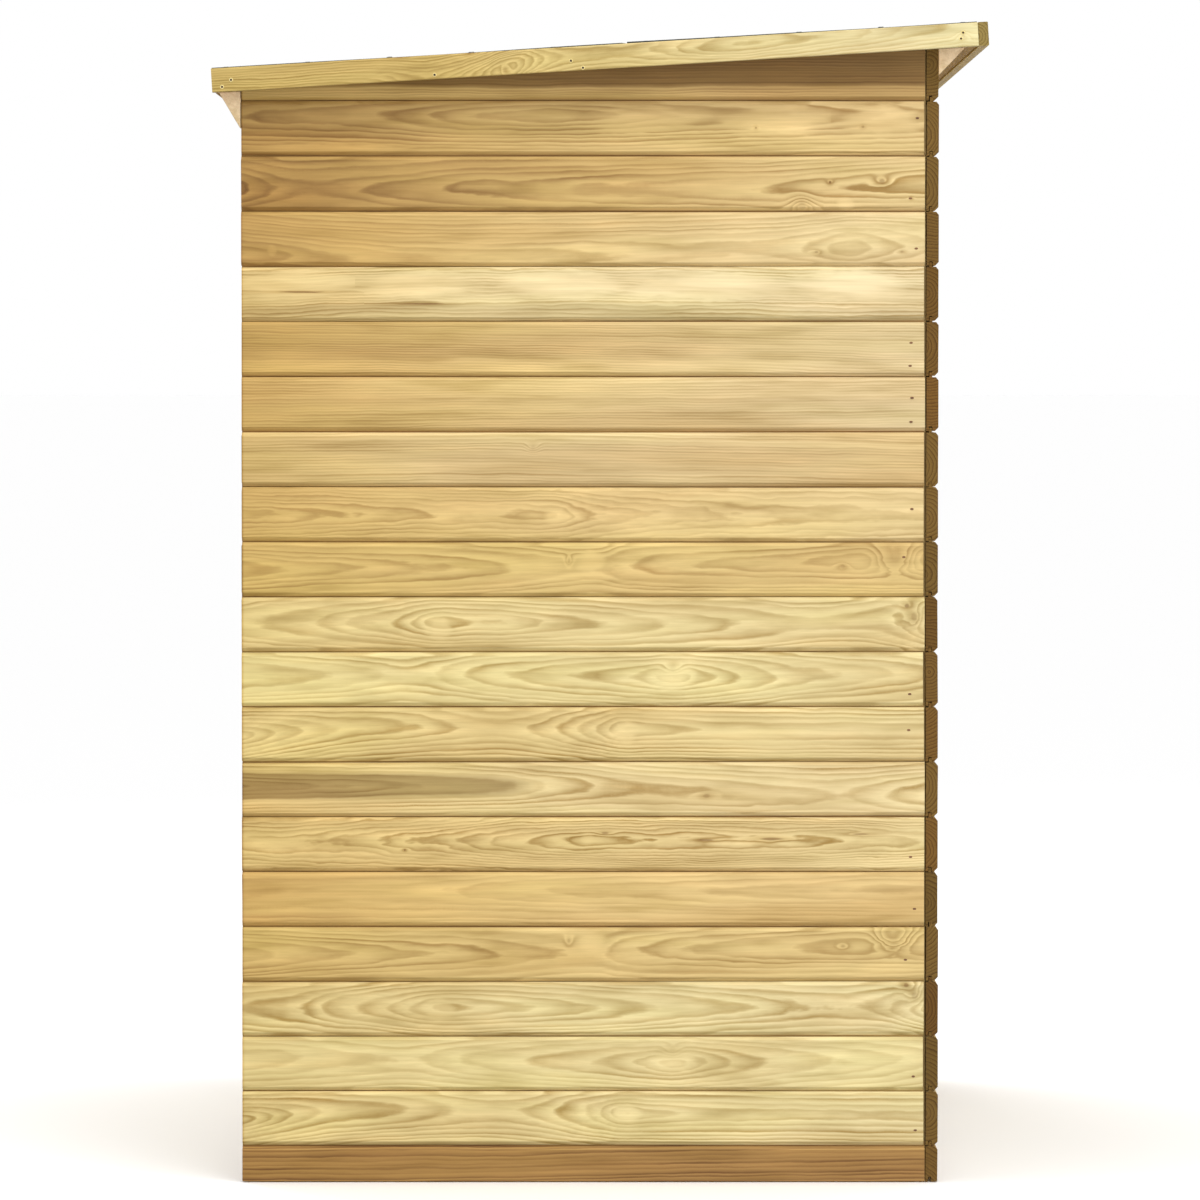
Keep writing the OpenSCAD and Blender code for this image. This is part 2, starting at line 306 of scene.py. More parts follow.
    g.put(g.bsdf.inputs["Base Color"], colour)
    g.put(g.bsdf.inputs["Roughness"], g.add(g.add(g.add(g.mul(band, -0.10), g.mul(thread, 0.12)), g.mul(cut, 0.3)), rough - 0.06))
    g.bsdf.inputs["Specular IOR Level"].default_value = 0.18
    g.bump(g.add(g.mul(thread, 0.8), g.mul(streak, 0.5)), relief, 0.0006)
    return g.mat


def metal(name, colour, worn, rough):
    g = Graph(name)
    at = g.place()
    grime = g.noise(at, 38.0, 4.0, 0.6)
    fine = g.noise(at, 620.0, 2.0, 0.5)
    g.put(g.bsdf.inputs["Base Color"], g.mix(g.span(grime, 0.45, 0.75, 0.0, 1.0), colour, worn))
    g.put(g.bsdf.inputs["Roughness"], g.add(g.mul(fine, 0.22), rough - 0.11))
    g.bsdf.inputs["Metallic"].default_value = 0.0
    g.bsdf.inputs["Specular IOR Level"].default_value = 0.5
    g.bump(fine, 0.25, 0.0004)
    return g.mat


def bright_metal(name, colour, worn, rough):
    g = Graph(name)
    at = g.place()
    grime = g.noise(at, 160.0, 3.0, 0.6)
    g.put(g.bsdf.inputs["Base Color"], g.mix(g.span(grime, 0.40, 0.65, 0.0, 1.0), colour, worn))
    g.put(g.bsdf.inputs["Roughness"], g.add(g.mul(grime, 0.25), rough - 0.12))
    g.bsdf.inputs["Metallic"].default_value = 0.85
    return g.mat


def felt_material():
    g = Graph("mineral_felt")
    at = g.place()
    grit = g.noise(at, 520.0, 2.0, 0.7)
    clump = g.noise(at, 60.0, 3.0, 0.6)
    broad = g.noise(at, 3.5, 3.0, 0.55)
    colour = g.ramp(grit, [(0.30, tint(38, 40, 40)), (0.48, tint(66, 69, 68)), (0.60, tint(92, 95, 92)), (0.76, tint(140, 142, 136))])
    colour = g.mix(g.span(clump, 0.35, 0.70, 0.0, 0.45), colour, (0.70, 0.72, 0.72, 1.0), "MULTIPLY")
    colour = g.mix(g.span(broad, 0.40, 0.68, 0.0, 0.5), colour, (0.78, 0.80, 0.78, 1.0), "MULTIPLY")
    g.put(g.bsdf.inputs["Base Color"], colour)
    g.put(g.bsdf.inputs["Roughness"], g.add(g.mul(grit, 0.15), 0.80))
    g.bsdf.inputs["Specular IOR Level"].default_value = 0.25
    g.bump(g.add(grit, g.mul(clump, 0.6)), 0.6, 0.0016)
    return g.mat


PINE = wood("treated_pine")
TRIM = wood("treated_pine_trim", TRIM_EARLY, TRIM_LATE, fibre=0.20, gain=0.775, ends=((184, 160, 94), (130, 108, 56)))
SAWN = wood("sawn_pine", fibre=0.26, rough=0.78, relief=0.6)
# the brackets' wood is near white: partly its own pale colour and partly painted light, made paler to stand in for
# light on the brackets in the roof's shade
PALE_WITH_PAINTED_LIGHT = wood("pale_sawn_pine_painted_light",
            early=[(0.0, tint(253, 227, 188)), (1.0, tint(243, 212, 172))],
            late=[(0.0, tint(245, 212, 170)), (1.0, tint(232, 196, 152))],
            fibre=0.12, rough=0.80, relief=0.6, speckle=0.35, gain=0.97)
IRON = metal("black_coated_steel", tint(30, 30, 31), tint(46, 44, 42), 0.46)
NAIL = bright_metal("dull_nail_steel", tint(128, 112, 84), tint(84, 64, 42), 0.50)
RUST = metal("stained_nail_steel", tint(122, 82, 50), tint(84, 52, 32), 0.70)
BRUISE = metal("bruised_pine", tint(236, 218, 152), tint(214, 190, 118), 0.80)
# the dark of the trim nails' dimples is a painted shade
PIT_PAINTED_SHADE = metal("nail_pit_painted_shade", tint(78, 56, 34), tint(52, 38, 24), 0.75)
CLOUT = bright_metal("zinc_coated_steel", tint(172, 174, 172), tint(128, 130, 130), 0.48)
SCREW = bright_metal("dark_screw_steel", tint(70, 70, 72), tint(42, 40, 38), 0.40)
FELT = felt_material()


# ---------------------------------------------------------------------- timber
def smooth_line(points):
    """A smooth curve through (position, value) points, flat past its ends."""
    xs, ys = [p[0] for p in points], [p[1] for p in points]

    def at(x):
        if x <= xs[0] or len(xs) == 1:
            return ys[0]
        if x >= xs[-1]:
            return ys[-1]
        i = max(k for k in range(len(xs) - 1) if xs[k] <= x)
        h = xs[i + 1] - xs[i]
        s = (x - xs[i]) / h

        def slope(k):
            lo, hi = max(k - 1, 0), min(k + 1, len(xs) - 1)
            return (ys[hi] - ys[lo]) / (xs[hi] - xs[lo])
        s2, s3 = s * s, s * s * s
        return ((2 * s3 - 3 * s2 + 1) * ys[i] + (s3 - 2 * s2 + s) * h * slope(i)
                + (3 * s2 - 2 * s3) * ys[i + 1] + (s3 - s2) * h * slope(i + 1))
    return at


def as_line(value):
    return smooth_line(value) if isinstance(value, (list, tuple)) else (lambda u: value)


class Figure:
    """How one piece of timber was cut from its log: where the pith runs, how wide the rings are, its knots, its tone and its heartwood. A knot whose core is below zero is a pale place."""

    def __init__(self, seed, tone, depth, across, pace=0.0056, heart=0.0, knots=(), force=1.0, wander=1.0, brown=0.0, warm=0.0, painted_light_tint=0.0):
        self.seed, self.pace, self.force, self.wander, self.brown, self.warm, self.painted_light_tint = seed, pace, force, wander, brown, warm, as_line(painted_light_tint)
        self.tone, self.heart = as_line(tone), as_line(heart)
        self.depth, self.across = smooth_line(depth), smooth_line(across)
        knots = sorted(k if len(k) > 4 else k + (2.5,) for k in knots)
        self.lanes = (knots[0::2], knots[1::2])
        self.drop = seed * 37.0

    # one tone all along: a darker stain for bottom boards, a painted shade for the eave battens
    def stain(self, tone):
        self.tone = as_line(tone)
        return self

    def knot(self, lane, u):
        """The nearest knot of a lane, as (u, v, size, core, stretch)."""
        if not self.lanes[lane]:
            return None
        return min(self.lanes[lane], key=lambda q: abs(q[0] - u))


def knot_at(k, u, v):
    """The place of a point beside a knot, and the knot's size."""
    return (9.0, 0.0, 0.0) if k is None else ((u - k[0]) * 2.5 / k[4], v - k[1], k[2])


def wild(rng, length, wide=COVER, plain=0.35, knotty=0.4, tones=(0.1, 0.2, 0.3, 0.3, 0.4, 0.5, 0.6)):
    """A figure for timber that the photo doesn't show."""
    seed, tone = rng.random(), rng.choice(tones) + rng.uniform(-0.06, 0.06)
    if rng.random() < plain:
        side = rng.choice((-1, 1))
        across = [(0, wide / 2 + side * rng.uniform(0.06, 0.14)), (length, wide / 2 + side * rng.uniform(0.06, 0.14))]
        depth = [(0, rng.uniform(-0.02, 0.05)), (length, rng.uniform(-0.02, 0.05))]
    else:
        n = max(2, int(length / 0.26))
        level, depth = rng.uniform(0.012, 0.045), []
        for i in range(n + 1):
            depth.append((length * i / n, level))
            level = min(0.062, max(0.003, level + rng.uniform(-0.019, 0.019)))
        across = [(length * i / 3, wide * rng.uniform(0.36, 0.64)) for i in range(4)]
    knots = []
    if rng.random() < knotty:
        for i in range(rng.choice((1, 1, 2))):
            knots.append((rng.uniform(0.06, length - 0.06), wide * rng.uniform(0.25, 0.75), rng.uniform(0.008, 0.017), rng.choice((0.0, 0.35, 0.8))))
    return Figure(seed, max(0.0, tone), depth, across, rng.uniform(0.0046, 0.0066), 0.0, knots)


class Build:
    """Collects prisms of timber into one mesh, each with its own grain."""

    def __init__(self):
        self.verts, self.faces = [], []
        self.at = {"grain": [], "knot": [], "bend": [], "tone": [], "make": [], "dark": [], "mood": []}
        self.islands = []          # (width, height, [(face, [(x, y), ...])])

    def vertex(self, p, fig, u, v, w, ka, kb, cut, painted_light=0.0):
        self.verts.append(tuple(p))
        self.at["grain"].append((u + fig.drop, v - fig.across(u), w - fig.depth(u)))
        self.at["knot"].append(knot_at(ka, u, v))
        self.at["bend"].append(knot_at(kb, u, v))
        # fresh is painted light: above zero the point is paler, with weaker rings and less heartwood, a painted
        # highlight; below zero it is darker, a painted shade
        self.at["tone"].append((min(1.0, max(0.0, fig.tone(u) - painted_light)), fig.heart(u), cut))
        self.at["mood"].append((fig.brown * (1.0 - max(painted_light, 0.0)), fig.warm, fig.painted_light_tint(u)))
        self.at["make"].append((fig.pace, fig.force * (1.0 - 1.8 * max(painted_light, 0.0)), fig.seed))
        self.at["dark"].append((ka[3] if ka else 0.0, kb[3] if kb else 0.0, fig.wander))
        return len(self.verts) - 1

    def prism(self, profile, us, place, fig, shown=None, painted_light=None):
        """A prism along u. profile(u) gives its outline as (v, w) points, place(u, v, w) puts a point in the frame,
        shown lists the outline's edges that can be seen, and fresh gives painted light at some of its points: paler for
        a painted highlight, darker for a painted shade.
        """
        # half way between two knots the row is doubled, so that each side follows its own
        line = [(us[0], fig.knot(0, us[0]), fig.knot(1, us[0]))]
        for u in us[1:]:
            turns = []
            for lane in (0, 1):
                k, before = fig.knot(lane, u), line[-1][1 + lane]
                if k != before:
                    turns.append(((k[0] + before[0]) / 2, lane, k))
            for half, lane, k in sorted(turns, key=lambda t: t[:2]):
                was = line[-1]
                line.append((half, was[1], was[2]))
                line.append((half, k, was[2]) if lane == 0 else (half, was[1], k))
            line.append((u, line[-1][1], line[-1][2]))
        us = [q[0] for q in line]
        rows = [[self.vertex(place(u, v, w), fig, u, v, w, ka, kb, 0.0, (painted_light or {}).get(j, 0.0)) for j, (v, w) in enumerate(profile(u))] for u, ka, kb in line]
        n = len(rows[0])
        flat = profile(us[0])
        area = sum(flat[i][0] * flat[(i + 1) % n][1] - flat[(i + 1) % n][0] * flat[i][1] for i in range(n))
        o = Vector(place(us[0], 0, 0))
        e = [Vector(place(us[0] + 0.01, 0, 0)) - o, Vector(place(us[0], 0.01, 0)) - o, Vector(place(us[0], 0, 0.01)) - o]
        outward = area * e[0].dot(e[1].cross(e[2])) > 0
        lengths = [math.dist(flat[j], flat[(j + 1) % n]) for j in range(n)]
        shown = list(range(n)) if shown is None else shown
        hidden = [j for j in range(n) if j not in shown]
        for edges, scale in ((shown, 1.0), (hidden, 0.4)):
            if not edges:
                continue
            cells, y = [], 0.0
            for j in edges:
                top = y + lengths[j] * scale
                for i in range(len(us) - 1):
                    if us[i + 1] - us[i] < 1e-9:
                        continue
                    q = [rows[i][j], rows[i][(j + 1) % n], rows[i + 1][(j + 1) % n], rows[i + 1][j]]
                    x0, x1 = us[i] * scale, us[i + 1] * scale
                    uv = [(x0, y), (x0, top), (x1, top), (x1, y)]
                    if not outward:
                        q.reverse(), uv.reverse()
                    self.faces.append(q)
                    cells.append((len(self.faces) - 1, uv))
                y = top
            self.islands.append(cells)
        for end, u in ((0, us[0]), (1, us[-1])):
            ring = [self.vertex(place(u, v, w), fig, u, v, w, None, None, 1.0) for v, w in profile(u)]
            uv = list(profile(u))
            if (end == 0) == outward:
                ring.reverse(), uv.reverse()
            self.faces.append(ring)
            self.islands.append([(len(self.faces) - 1, uv)])

    def maps(self):
        """A map for each face, in strips packed into a square."""
        def pieces(side):
            for cells in self.islands:
                x0 = min(p[0] for _, uv in cells for p in uv)
                x1 = max(p[0] for _, uv in cells for p in uv)
                parts = max(1, math.ceil((x1 - x0) / side))
                step = (x1 - x0) / parts + 1e-9
                groups = {}
                for f, uv in cells:
                    groups.setdefault(int((sum(p[0] for p in uv) / len(uv) - x0) / step), []).append((f, uv))
                yield from groups.values()

        def pack(side, gap):
            boxes = []
            for cells in pieces(side):
                xs = [p[0] for _, uv in cells for p in uv]
                ys = [p[1] for _, uv in cells for p in uv]
                boxes.append((max(ys) - min(ys) + gap, max(xs) - min(xs) + gap, min(xs), min(ys), cells))
            boxes.sort(key=lambda q: (-q[0], -q[1]))
            done, x, y, shelf = [], 0.0, 0.0, 0.0
            for h, w, x0, y0, cells in boxes:
                if w > side:
                    return None
                if x + w > side:
                    x, y, shelf = 0.0, y + shelf, 0.0
                shelf = max(shelf, h)
                if y + h > side:
                    return None
                done.append((x - x0 + gap / 2, y - y0 + gap / 2, cells))
                x += w
            return done
        total = 0.0
        for cells in self.islands:
            xs = [p[0] for _, uv in cells for p in uv]
            ys = [p[1] for _, uv in cells for p in uv]
            total += (max(xs) - min(xs)) * (max(ys) - min(ys))
        side, done = math.sqrt(total) * 1.02, None
        while not done:
            done = pack(side, side * 0.004)
            side = side if done else side * 1.02
        uvs = {}
        for dx, dy, cells in done:
            for f, uv in cells:
                uvs[f] = [((x + dx) / side, (y + dy) / side) for x, y in uv]
        return uvs

    def finish(self, name, material, slot, *nodes):
        me = bpy.data.meshes.new(name)
        me.from_pydata(self.verts, [], self.faces)
        for key, values in self.at.items():
            layer = me.attributes.new(key, "FLOAT_VECTOR", "POINT")
            layer.data.foreach_set("vector", [c for v in values for c in v])
        uvs = self.maps()
        layer = me.uv_layers.new(name="OFBake")
        for poly in me.polygons:
            for loop, uv in zip(poly.loop_indices, uvs[poly.index]):
                layer.data[loop].uv = uv
        me.materials.append(material)
        me.update()
        return settle(bpy.data.objects.new(name, me), slot, *nodes)


def settle(ob, slot, *nodes):
    if not ob.users_collection:
        bpy.context.scene.collection.objects.link(ob)
    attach(ob, "root")
    if nodes:
        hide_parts(*nodes)
    return ob


def stations(length, step, extra=()):
    n = max(1, round(length / step))
    return sorted(set([round(length * i / n, 6) for i in range(n + 1)] + [round(e, 6) for e in extra if 0 < e < length]))


# The outline of a tongue-and-groove board: face at w = 0, tongue up, groove down
CH_LO, CH_HI, CH_W, CH_T, JOINT = 0.0064, 0.0056, 0.0056, 0.0040, 0.0010


def matched(height, tongue=True, lower=True, thick=T):
    m = height
    face = [(CH_LO + 0.0007, 0.0), (m - CH_HI - 0.0007, 0.0)]
    if tongue:
        top = [(m - CH_HI + 0.0002, 0.0005), (m - JOINT, CH_T), (m - JOINT, 0.0100), (m + 0.0062, 0.0102), (m + 0.0068, 0.0108),
               (m + 0.0068, 0.0138), (m + 0.0062, 0.0144), (m - JOINT, 0.0146)]
    else:
        face[1] = (m, 0.0)
        top = []
    back = [(m - JOINT if tongue else m, thick), (JOINT, thick)]
    groove = [(JOINT, 0.0152), (0.0082, 0.0150), (0.0082, 0.0096), (JOINT, 0.0094)]
    low = [(JOINT, CH_W), (CH_LO - 0.0002, 0.0005)] if lower else [(JOINT, 0.0008), (0.0014, 0.0)]
    if not lower:
        face[0] = (0.0022, 0.0)
    points = face + top + back + groove + low
    n = len(points)
    # edges seen from outside: the face and the two bevels beside it
    shown = [0, 1, 2, n - 2, n - 1] if tongue else [0, n - 2, n - 1]
    # painted highlight and painted shade: the upper bevel is paler than the face, partly the paler machined wood and
    # partly a painted highlight; the lower bevel, the joint below it and the tongue in it are darker, a painted shade
    painted_light_shift = {n - 2: -0.12, n - 3: -0.8} if lower else {}
    if tongue:
        painted_light_shift.update({2: 0.10, 3: 0.0, 4: -0.8, 5: -0.8})
    return points, shown, painted_light_shift


def course_levels():
    levels = [(0.0, FIRST)]
    while levels[-1][1] < 1.80:
        levels.append((levels[-1][1], levels[-1][1] + COVER))
    return levels


def clad(build, index, z0, height, length, place, fig, rng, step, top=None, tongue=True, ends=(0.0012, 0.0012), extra=()):
    """One board of a wall. top(u) gives where the roof cuts it, above its lower edge."""
    points, shown, painted_light_shift = matched(height, tongue and top is None, index > 0)
    push, lean = rng.uniform(-0.0005, 0.0006), rng.uniform(-0.0004, 0.0004)
    bow, turn = rng.uniform(-0.0009, 0.0009), rng.uniform(0, 6.28)
    a, b = rng.uniform(ends[0] * 0.3, ends[0]), rng.uniform(ends[1] * 0.3, ends[1])
    us = stations(length, step, extra)
    us[0], us[-1] = us[0] + a, us[-1] - b

    def profile(u):
        if top is None:
            return points
        t = top(u)
        return [(min(v, t) if v > 0.02 or v > t else v, w) for v, w in points]

    def put(u, v, w):
        wave = bow * math.sin(2.6 * u / length + turn) * (0.0 if index == 0 else 1.0)
        return place(u, z0 + v + wave, w + push + lean * (v / COVER) * 2)
    build.prism(profile, us, put, fig, shown, painted_light_shift)


# ------------------------------------------------------------- left side wall
def near_u(px):
    return (px - 241.0) * PX


def near_figure(course, spec):
    """A course of the wall in the photo, from points read off the photo: pith depth along it in mm, pith height in mm, knots as (x, y, mm, core, stretch)."""
    z0 = course_levels()[course][0]

    def line(points, k):
        return [(near_u(x), value * k) for x, value in points] if isinstance(points, list) else points * k
    knots = [(near_u(q[0]), (1182.0 - q[1]) * PX - z0, q[2] / 1000.0) + tuple(q[3:]) for q in spec.get("knots", ())]
    # the last argument, cream, is a painted light tint along the course: warm at the wall's left end, cooler at the
    # right end of the upper courses
    fig = Figure(spec["seed"], line(spec["tone"], 1.0), line(spec["depth"], 0.001), line(spec["across"], 0.001), spec.get("pace", 5.6) / 1000.0,
                  line(spec.get("heart", 0.0), 0.001), knots, spec.get("force", 1.0), spec.get("wander", 1.0), spec.get("brown", 0.0), spec.get("warm", 0.0),
                  [(0.0, -1.0), (0.55, 0.0 if course > 11 else -0.4), (1.1, spec.get("painted_light_tint", 1.0 if course > 11 else -0.1))])
    plain = fig.tone
    fig.tone = lambda u: plain(u) + 0.75 * max(0.0, 1.0 - u / 0.0045)
    return fig


ARCS = dict(depth=[(241, 4), (270, 14), (326, 26), (384, 32), (421, 36), (490, 42), (535, 38), (570, 30), (600, 20), (622, 10), (650, 13), (720, 17), (926, 18)],
            across=[(241, 42), (300, 50), (400, 57), (600, 52), (926, 48)], tone=[(241, 0.24), (500, 0.24), (926, 0.10)], force=1.25, warm=-0.15)
LENS = dict(depth=[(241, 34), (300, 37), (362, 42), (405, 45), (437, 42), (475, 37), (560, 28), (640, 20), (672, 14), (700, 20), (760, 30), (800, 36), (892, 42), (926, 46)],
            across=[(241, 50), (437, 51), (672, 46), (926, 52)], tone=[(241, 0.06), (926, 0.04)], force=1.1, warm=-0.28)
EYE = dict(depth=[(241, 48), (300, 42), (323, 38), (368, 30), (396, 24), (413, 19), (437, 13.5), (470, 16), (520, 21), (600, 27), (680, 33), (750, 39), (823, 45), (886, 40), (915, 28), (926, 22)],
           across=[(241, 46), (437, 47), (700, 46), (926, 50)], tone=[(241, 0.20), (600, 0.10), (926, 0.10)], force=1.25, warm=-0.15)
LOOP = dict(depth=[(241, 18), (335, 27), (470, 34), (560, 43), (600, 44), (625, 38), (700, 32), (830, 26), (926, 20)],
            across=[(241, 43), (470, 47), (620, 50), (926, 60)], tone=[(241, 0.62), (600, 0.46), (926, 0.50)], force=1.1, warm=-0.1)
NEAR = {
    0: dict(seed=.11, tone=1.0, depth=[(241, 30), (926, 38)], across=[(241, 90), (926, 104)], pace=6.2, force=1.4, warm=0.3),
    1: dict(ARCS, seed=.21, tone=[(241, 0.17), (500, 0.14), (926, 0.0)], knots=[(624, 1114, 30, -0.7, 2.2)]),
    2: dict(LENS, seed=.31, knots=[(672, 1049, 11, 0.05, 1.4), (674, 1060, 34, -0.6, 3.0)]),
    3: dict(EYE, seed=.41, tone=[(241, 0.13), (600, 0.02), (926, 0.02)], knots=[(438, 1009, 34, -0.5, 1.9), (914, 996, 14, 0.25, 1.2), (906, 985, 7, 0.6, 2.0)]),
    4: dict(LOOP, seed=.51, tone=[(241, 0.56), (600, 0.38), (926, 0.42)], knots=[(568, 940, 9, 0.14, 0.8), (590, 941, 30, -0.8, 2.4), (842, 945, 6, 0.25, 2.0), (894, 936, 24, 0.08, 1.2)]),
    5: dict(seed=.61, tone=[(241, 0.66), (600, 0.42), (926, 0.38)], depth=[(241, 40), (326, 38), (470, 33), (575, 28), (926, 18)], across=[(241, 53), (926, 60)], pace=6.0, force=0.8, warm=0.25),
    6: dict(seed=.71, tone=[(241, 0.40), (560, 0.30), (926, 0.18)],
            depth=[(241, 42), (343, 40), (402, 36.6), (443, 33), (468, 29.6), (493, 26.2), (518, 22.8), (554, 19.4), (588, 17.6), (640, 18.6), (700, 20), (760, 21), (926, 27)],
            across=[(241, 44), (402, 46), (560, 50), (660, 50), (926, 50)], pace=3.4, force=1.5, wander=1.5,
            knots=[(404, 849, 3, 0.8, 2.0), (586, 838, 18, -0.3, 1.7), (604, 832, 4, 0.5, 5.0), (706, 839, 4, 0.6, 12.0), (772, 838, 4.5, 0.6, 12.0), (860, 833, 3, 0.5, 16.0)]),
    7: dict(seed=.81, tone=[(241, 0.36), (540, 0.10), (926, 0.06)],
            depth=[(241, 6), (330, 10), (417, 14), (510, 20), (538, 25), (573, 30), (638, 36), (720, 37), (816, 42), (840, 43), (865, 41), (926, 34)],
            across=[(241, 50), (560, 48), (720, 38), (926, 34)], heart=[(241, 23), (420, 24), (510, 24), (600, 20), (926, 10)], brown=0.75, knots=[(706, 795, 6, 0.30, 3.0)], force=1.3, warm=0.15),
    8: dict(ARCS, seed=.91, knots=[(624, 732, 30, -0.7, 2.2)]),
    9: dict(LENS, seed=.14, knots=[(672, 667, 11, 0.05, 1.4), (674, 678, 34, -0.6, 3.0)]),
    10: dict(EYE, seed=.24, knots=[(438, 628, 34, -0.5, 1.9), (914, 616, 14, 0.25, 1.2), (906, 605, 7, 0.6, 2.0)]),
    11: dict(LOOP, seed=.34, knots=[(568, 560, 9, 0.14, 0.8), (590, 561, 30, -0.8, 2.4), (842, 565, 6, 0.25, 2.0), (894, 556, 24, 0.08, 1.2)]),
    12: dict(seed=.44, tone=[(241, 0.62), (500, 0.44), (926, 0.28)],
             depth=[(241, 14), (369, 22), (480, 26), (556, 25), (584, 31), (617, 36), (672, 42), (800, 48), (926, 50)],
             across=[(241, 42), (926, 44)], knots=[(556, 515, 24, -0.7, 3.0)], pace=5.0, wander=1.8, warm=0.15),
    13: dict(seed=.54, tone=[(241, 0.30), (560, 0.10), (926, 0.24)], depth=[(241, 30), (540, 34), (926, 30)],
             across=[(241, -62), (530, -58), (926, -70)], heart=[(241, 142), (926, 134)], brown=0.24, knots=[(533, 446, 9, 0.10, 1.2)], pace=4.8, force=0.8, warm=0.42, painted_light_tint=0.0),
    14: dict(seed=.64, tone=[(241, 0.60), (500, 0.32), (926, 0.04)], depth=[(241, 28), (926, 30)], across=[(241, -60), (926, -52)],
             heart=[(241, 116), (926, 112)], brown=0.20, pace=4.6, force=0.85, warm=0.32),
    15: dict(seed=.74, tone=[(241, 0.70), (500, 0.42), (926, 0.06)], depth=[(241, 30), (926, 22)], across=[(241, 148), (926, 138)],
             heart=[(241, 126), (926, 116)], brown=0.20, pace=4.2, force=0.85, warm=0.30),
    16: dict(seed=.84, tone=[(241, 0.24), (480, 0.04), (926, 0.0)], depth=[(241, 30), (400, 26), (500, 30), (926, 26)],
             across=[(241, -34), (500, -26), (926, -34)], heart=[(241, 62), (390, 66), (480, 64), (700, 62), (926, 58)], brown=0.26, warm=0.12,
             knots=[(290, 283, 40, -0.8, 7.0), (303, 291, 2.6, 0.8, 45.0), (420, 283, 40, -0.8, 6.0), (425, 303, 2.6, 0.7, 45.0), (560, 284, 40, -0.9, 7.0), (700, 286, 42, -1.0, 8.0), (850, 285, 46, -1.0, 6.0)],
             pace=5.0, force=1.3, wander=1.8),
    17: dict(seed=.94, tone=[(241, 0.80), (480, 0.50), (700, 0.26), (926, 0.18)], depth=[(241, 22), (400, 34), (600, 42), (770, 45), (812, 41), (847, 36), (882, 41), (926, 47)],
             across=[(241, 20), (400, 10), (700, 24), (926, 34)], knots=[(272, 250, 14, -0.6, 1.6), (815, 251, 4, 0.35, 2.5), (900, 251, 4, 0.3, 2.5)], pace=4.8, force=0.85, warm=0.15),
    18: dict(seed=.17, tone=[(241, 0.96), (420, 0.84), (560, 0.70), (760, 0.48), (926, 0.36)],
             depth=[(241, 38), (300, 49), (378, 45.5), (442, 41), (583, 35.5), (690, 32), (752, 29.5), (800, 26), (926, 20)],
             across=[(241, 36), (560, 35), (760, 36), (926, 44)],
             knots=[(800, 206, 17, 0.16, 1.2), (829, 182, 5, 0.85, 1.6), (845, 204, 20, -0.7, 2.2), (881, 181, 9, 0.45, 1.8), (910, 198, 3, 0.8, 2.0)], pace=6.0, force=1.5, warm=0.0),
    19: dict(seed=.27, tone=[(241, 0.84), (400, 0.70), (560, 0.56), (760, 0.47), (926, 0.40)],
             depth=[(241, 34), (329, 30), (405, 24), (435, 20), (560, 14), (760, 26), (926, 36)], across=[(241, 61), (926, 66)],
             heart=[(241, 44), (560, 38), (926, 30)], brown=0.22, pace=5.6, force=1.2, warm=0.1,
             knots=[(330, 149, 15, -0.9, 26.0), (640, 121, 40, -0.7, 6.0), (755, 128, 4, 0.5, 1.5), (775, 121, 42, -0.9, 6.0), (862, 127, 4, 0.4, 2.0), (885, 121, 40, -0.8, 5.0)]),
    20: dict(seed=.37, tone=[(241, 0.60), (430, 0.68), (600, 0.72), (730, 0.74), (926, 0.72)], depth=[(241, 8), (926, 8)], across=[(241, 96), (926, 98)], heart=76.0, brown=0.88, pace=4.8, warm=0.15),
}

LEVELS = course_levels()
rng = random.Random(4107)
near_parts = [Build(), Build(), Build()]
for i, (z0, z1) in enumerate(LEVELS):
    last = i == len(LEVELS) - 1
    clip = (lambda u, z=z0: under_deck(XB + u) - z) if last else None
    clad(near_parts[i % 3], i, z0, 0.11 if last else z1 - z0, X_IN - XB, lambda u, z, w: (XB + u, YL + w, z), near_figure(i, NEAR[i]), rng, 0.014, clip,
         ends=(0.0012, 0.0052), extra=(0.0045,))
for part, mark in zip(near_parts, "abc"):
    part.finish("left_wall_boards_" + mark, PINE, "boards", "left_side_wall")

# ------------------------------------------------------------ the other walls
rng = random.Random(5210)
parts = [Build(), Build()]
for i, (z0, z1) in enumerate(LEVELS):
    last = i == len(LEVELS) - 1
    clip = (lambda u, z=z0: under_deck(XB + u) - z) if last else None
    fig = wild(rng, X_IN - XB)
    if i == 0:
        fig.stain(0.9)
    clad(parts[i % 2], i, z0, 0.11 if last else z1 - z0, X_IN - XB, lambda u, z, w: (XB + u, YR - w, z), fig, rng, 0.024, clip)
for part, mark in zip(parts, "ab"):
    part.finish("right_wall_boards_" + mark, PINE, "boards", "right_side_wall")

rng = random.Random(6001)
parts = [Build(), Build()]
back_len = 2 * (YR - T)
for i, (z0, z1) in enumerate(LEVELS):
    fig = wild(rng, back_len)
    if i == 0:
        fig.stain(0.9)
    last = (lambda u: under_deck(XB) - LEVELS[-1][0]) if i == len(LEVELS) - 1 else None
    clad(parts[i % 2], i, z0, z1 - z0, back_len, lambda u, z, w: (XB + w, YL + T + u, z), fig, rng, 0.030, last, ends=(0.0004, 0.0004))
for part, mark in zip(parts, "ab"):
    part.finish("back_wall_boards_" + mark, PINE, "boards", "back_wall")

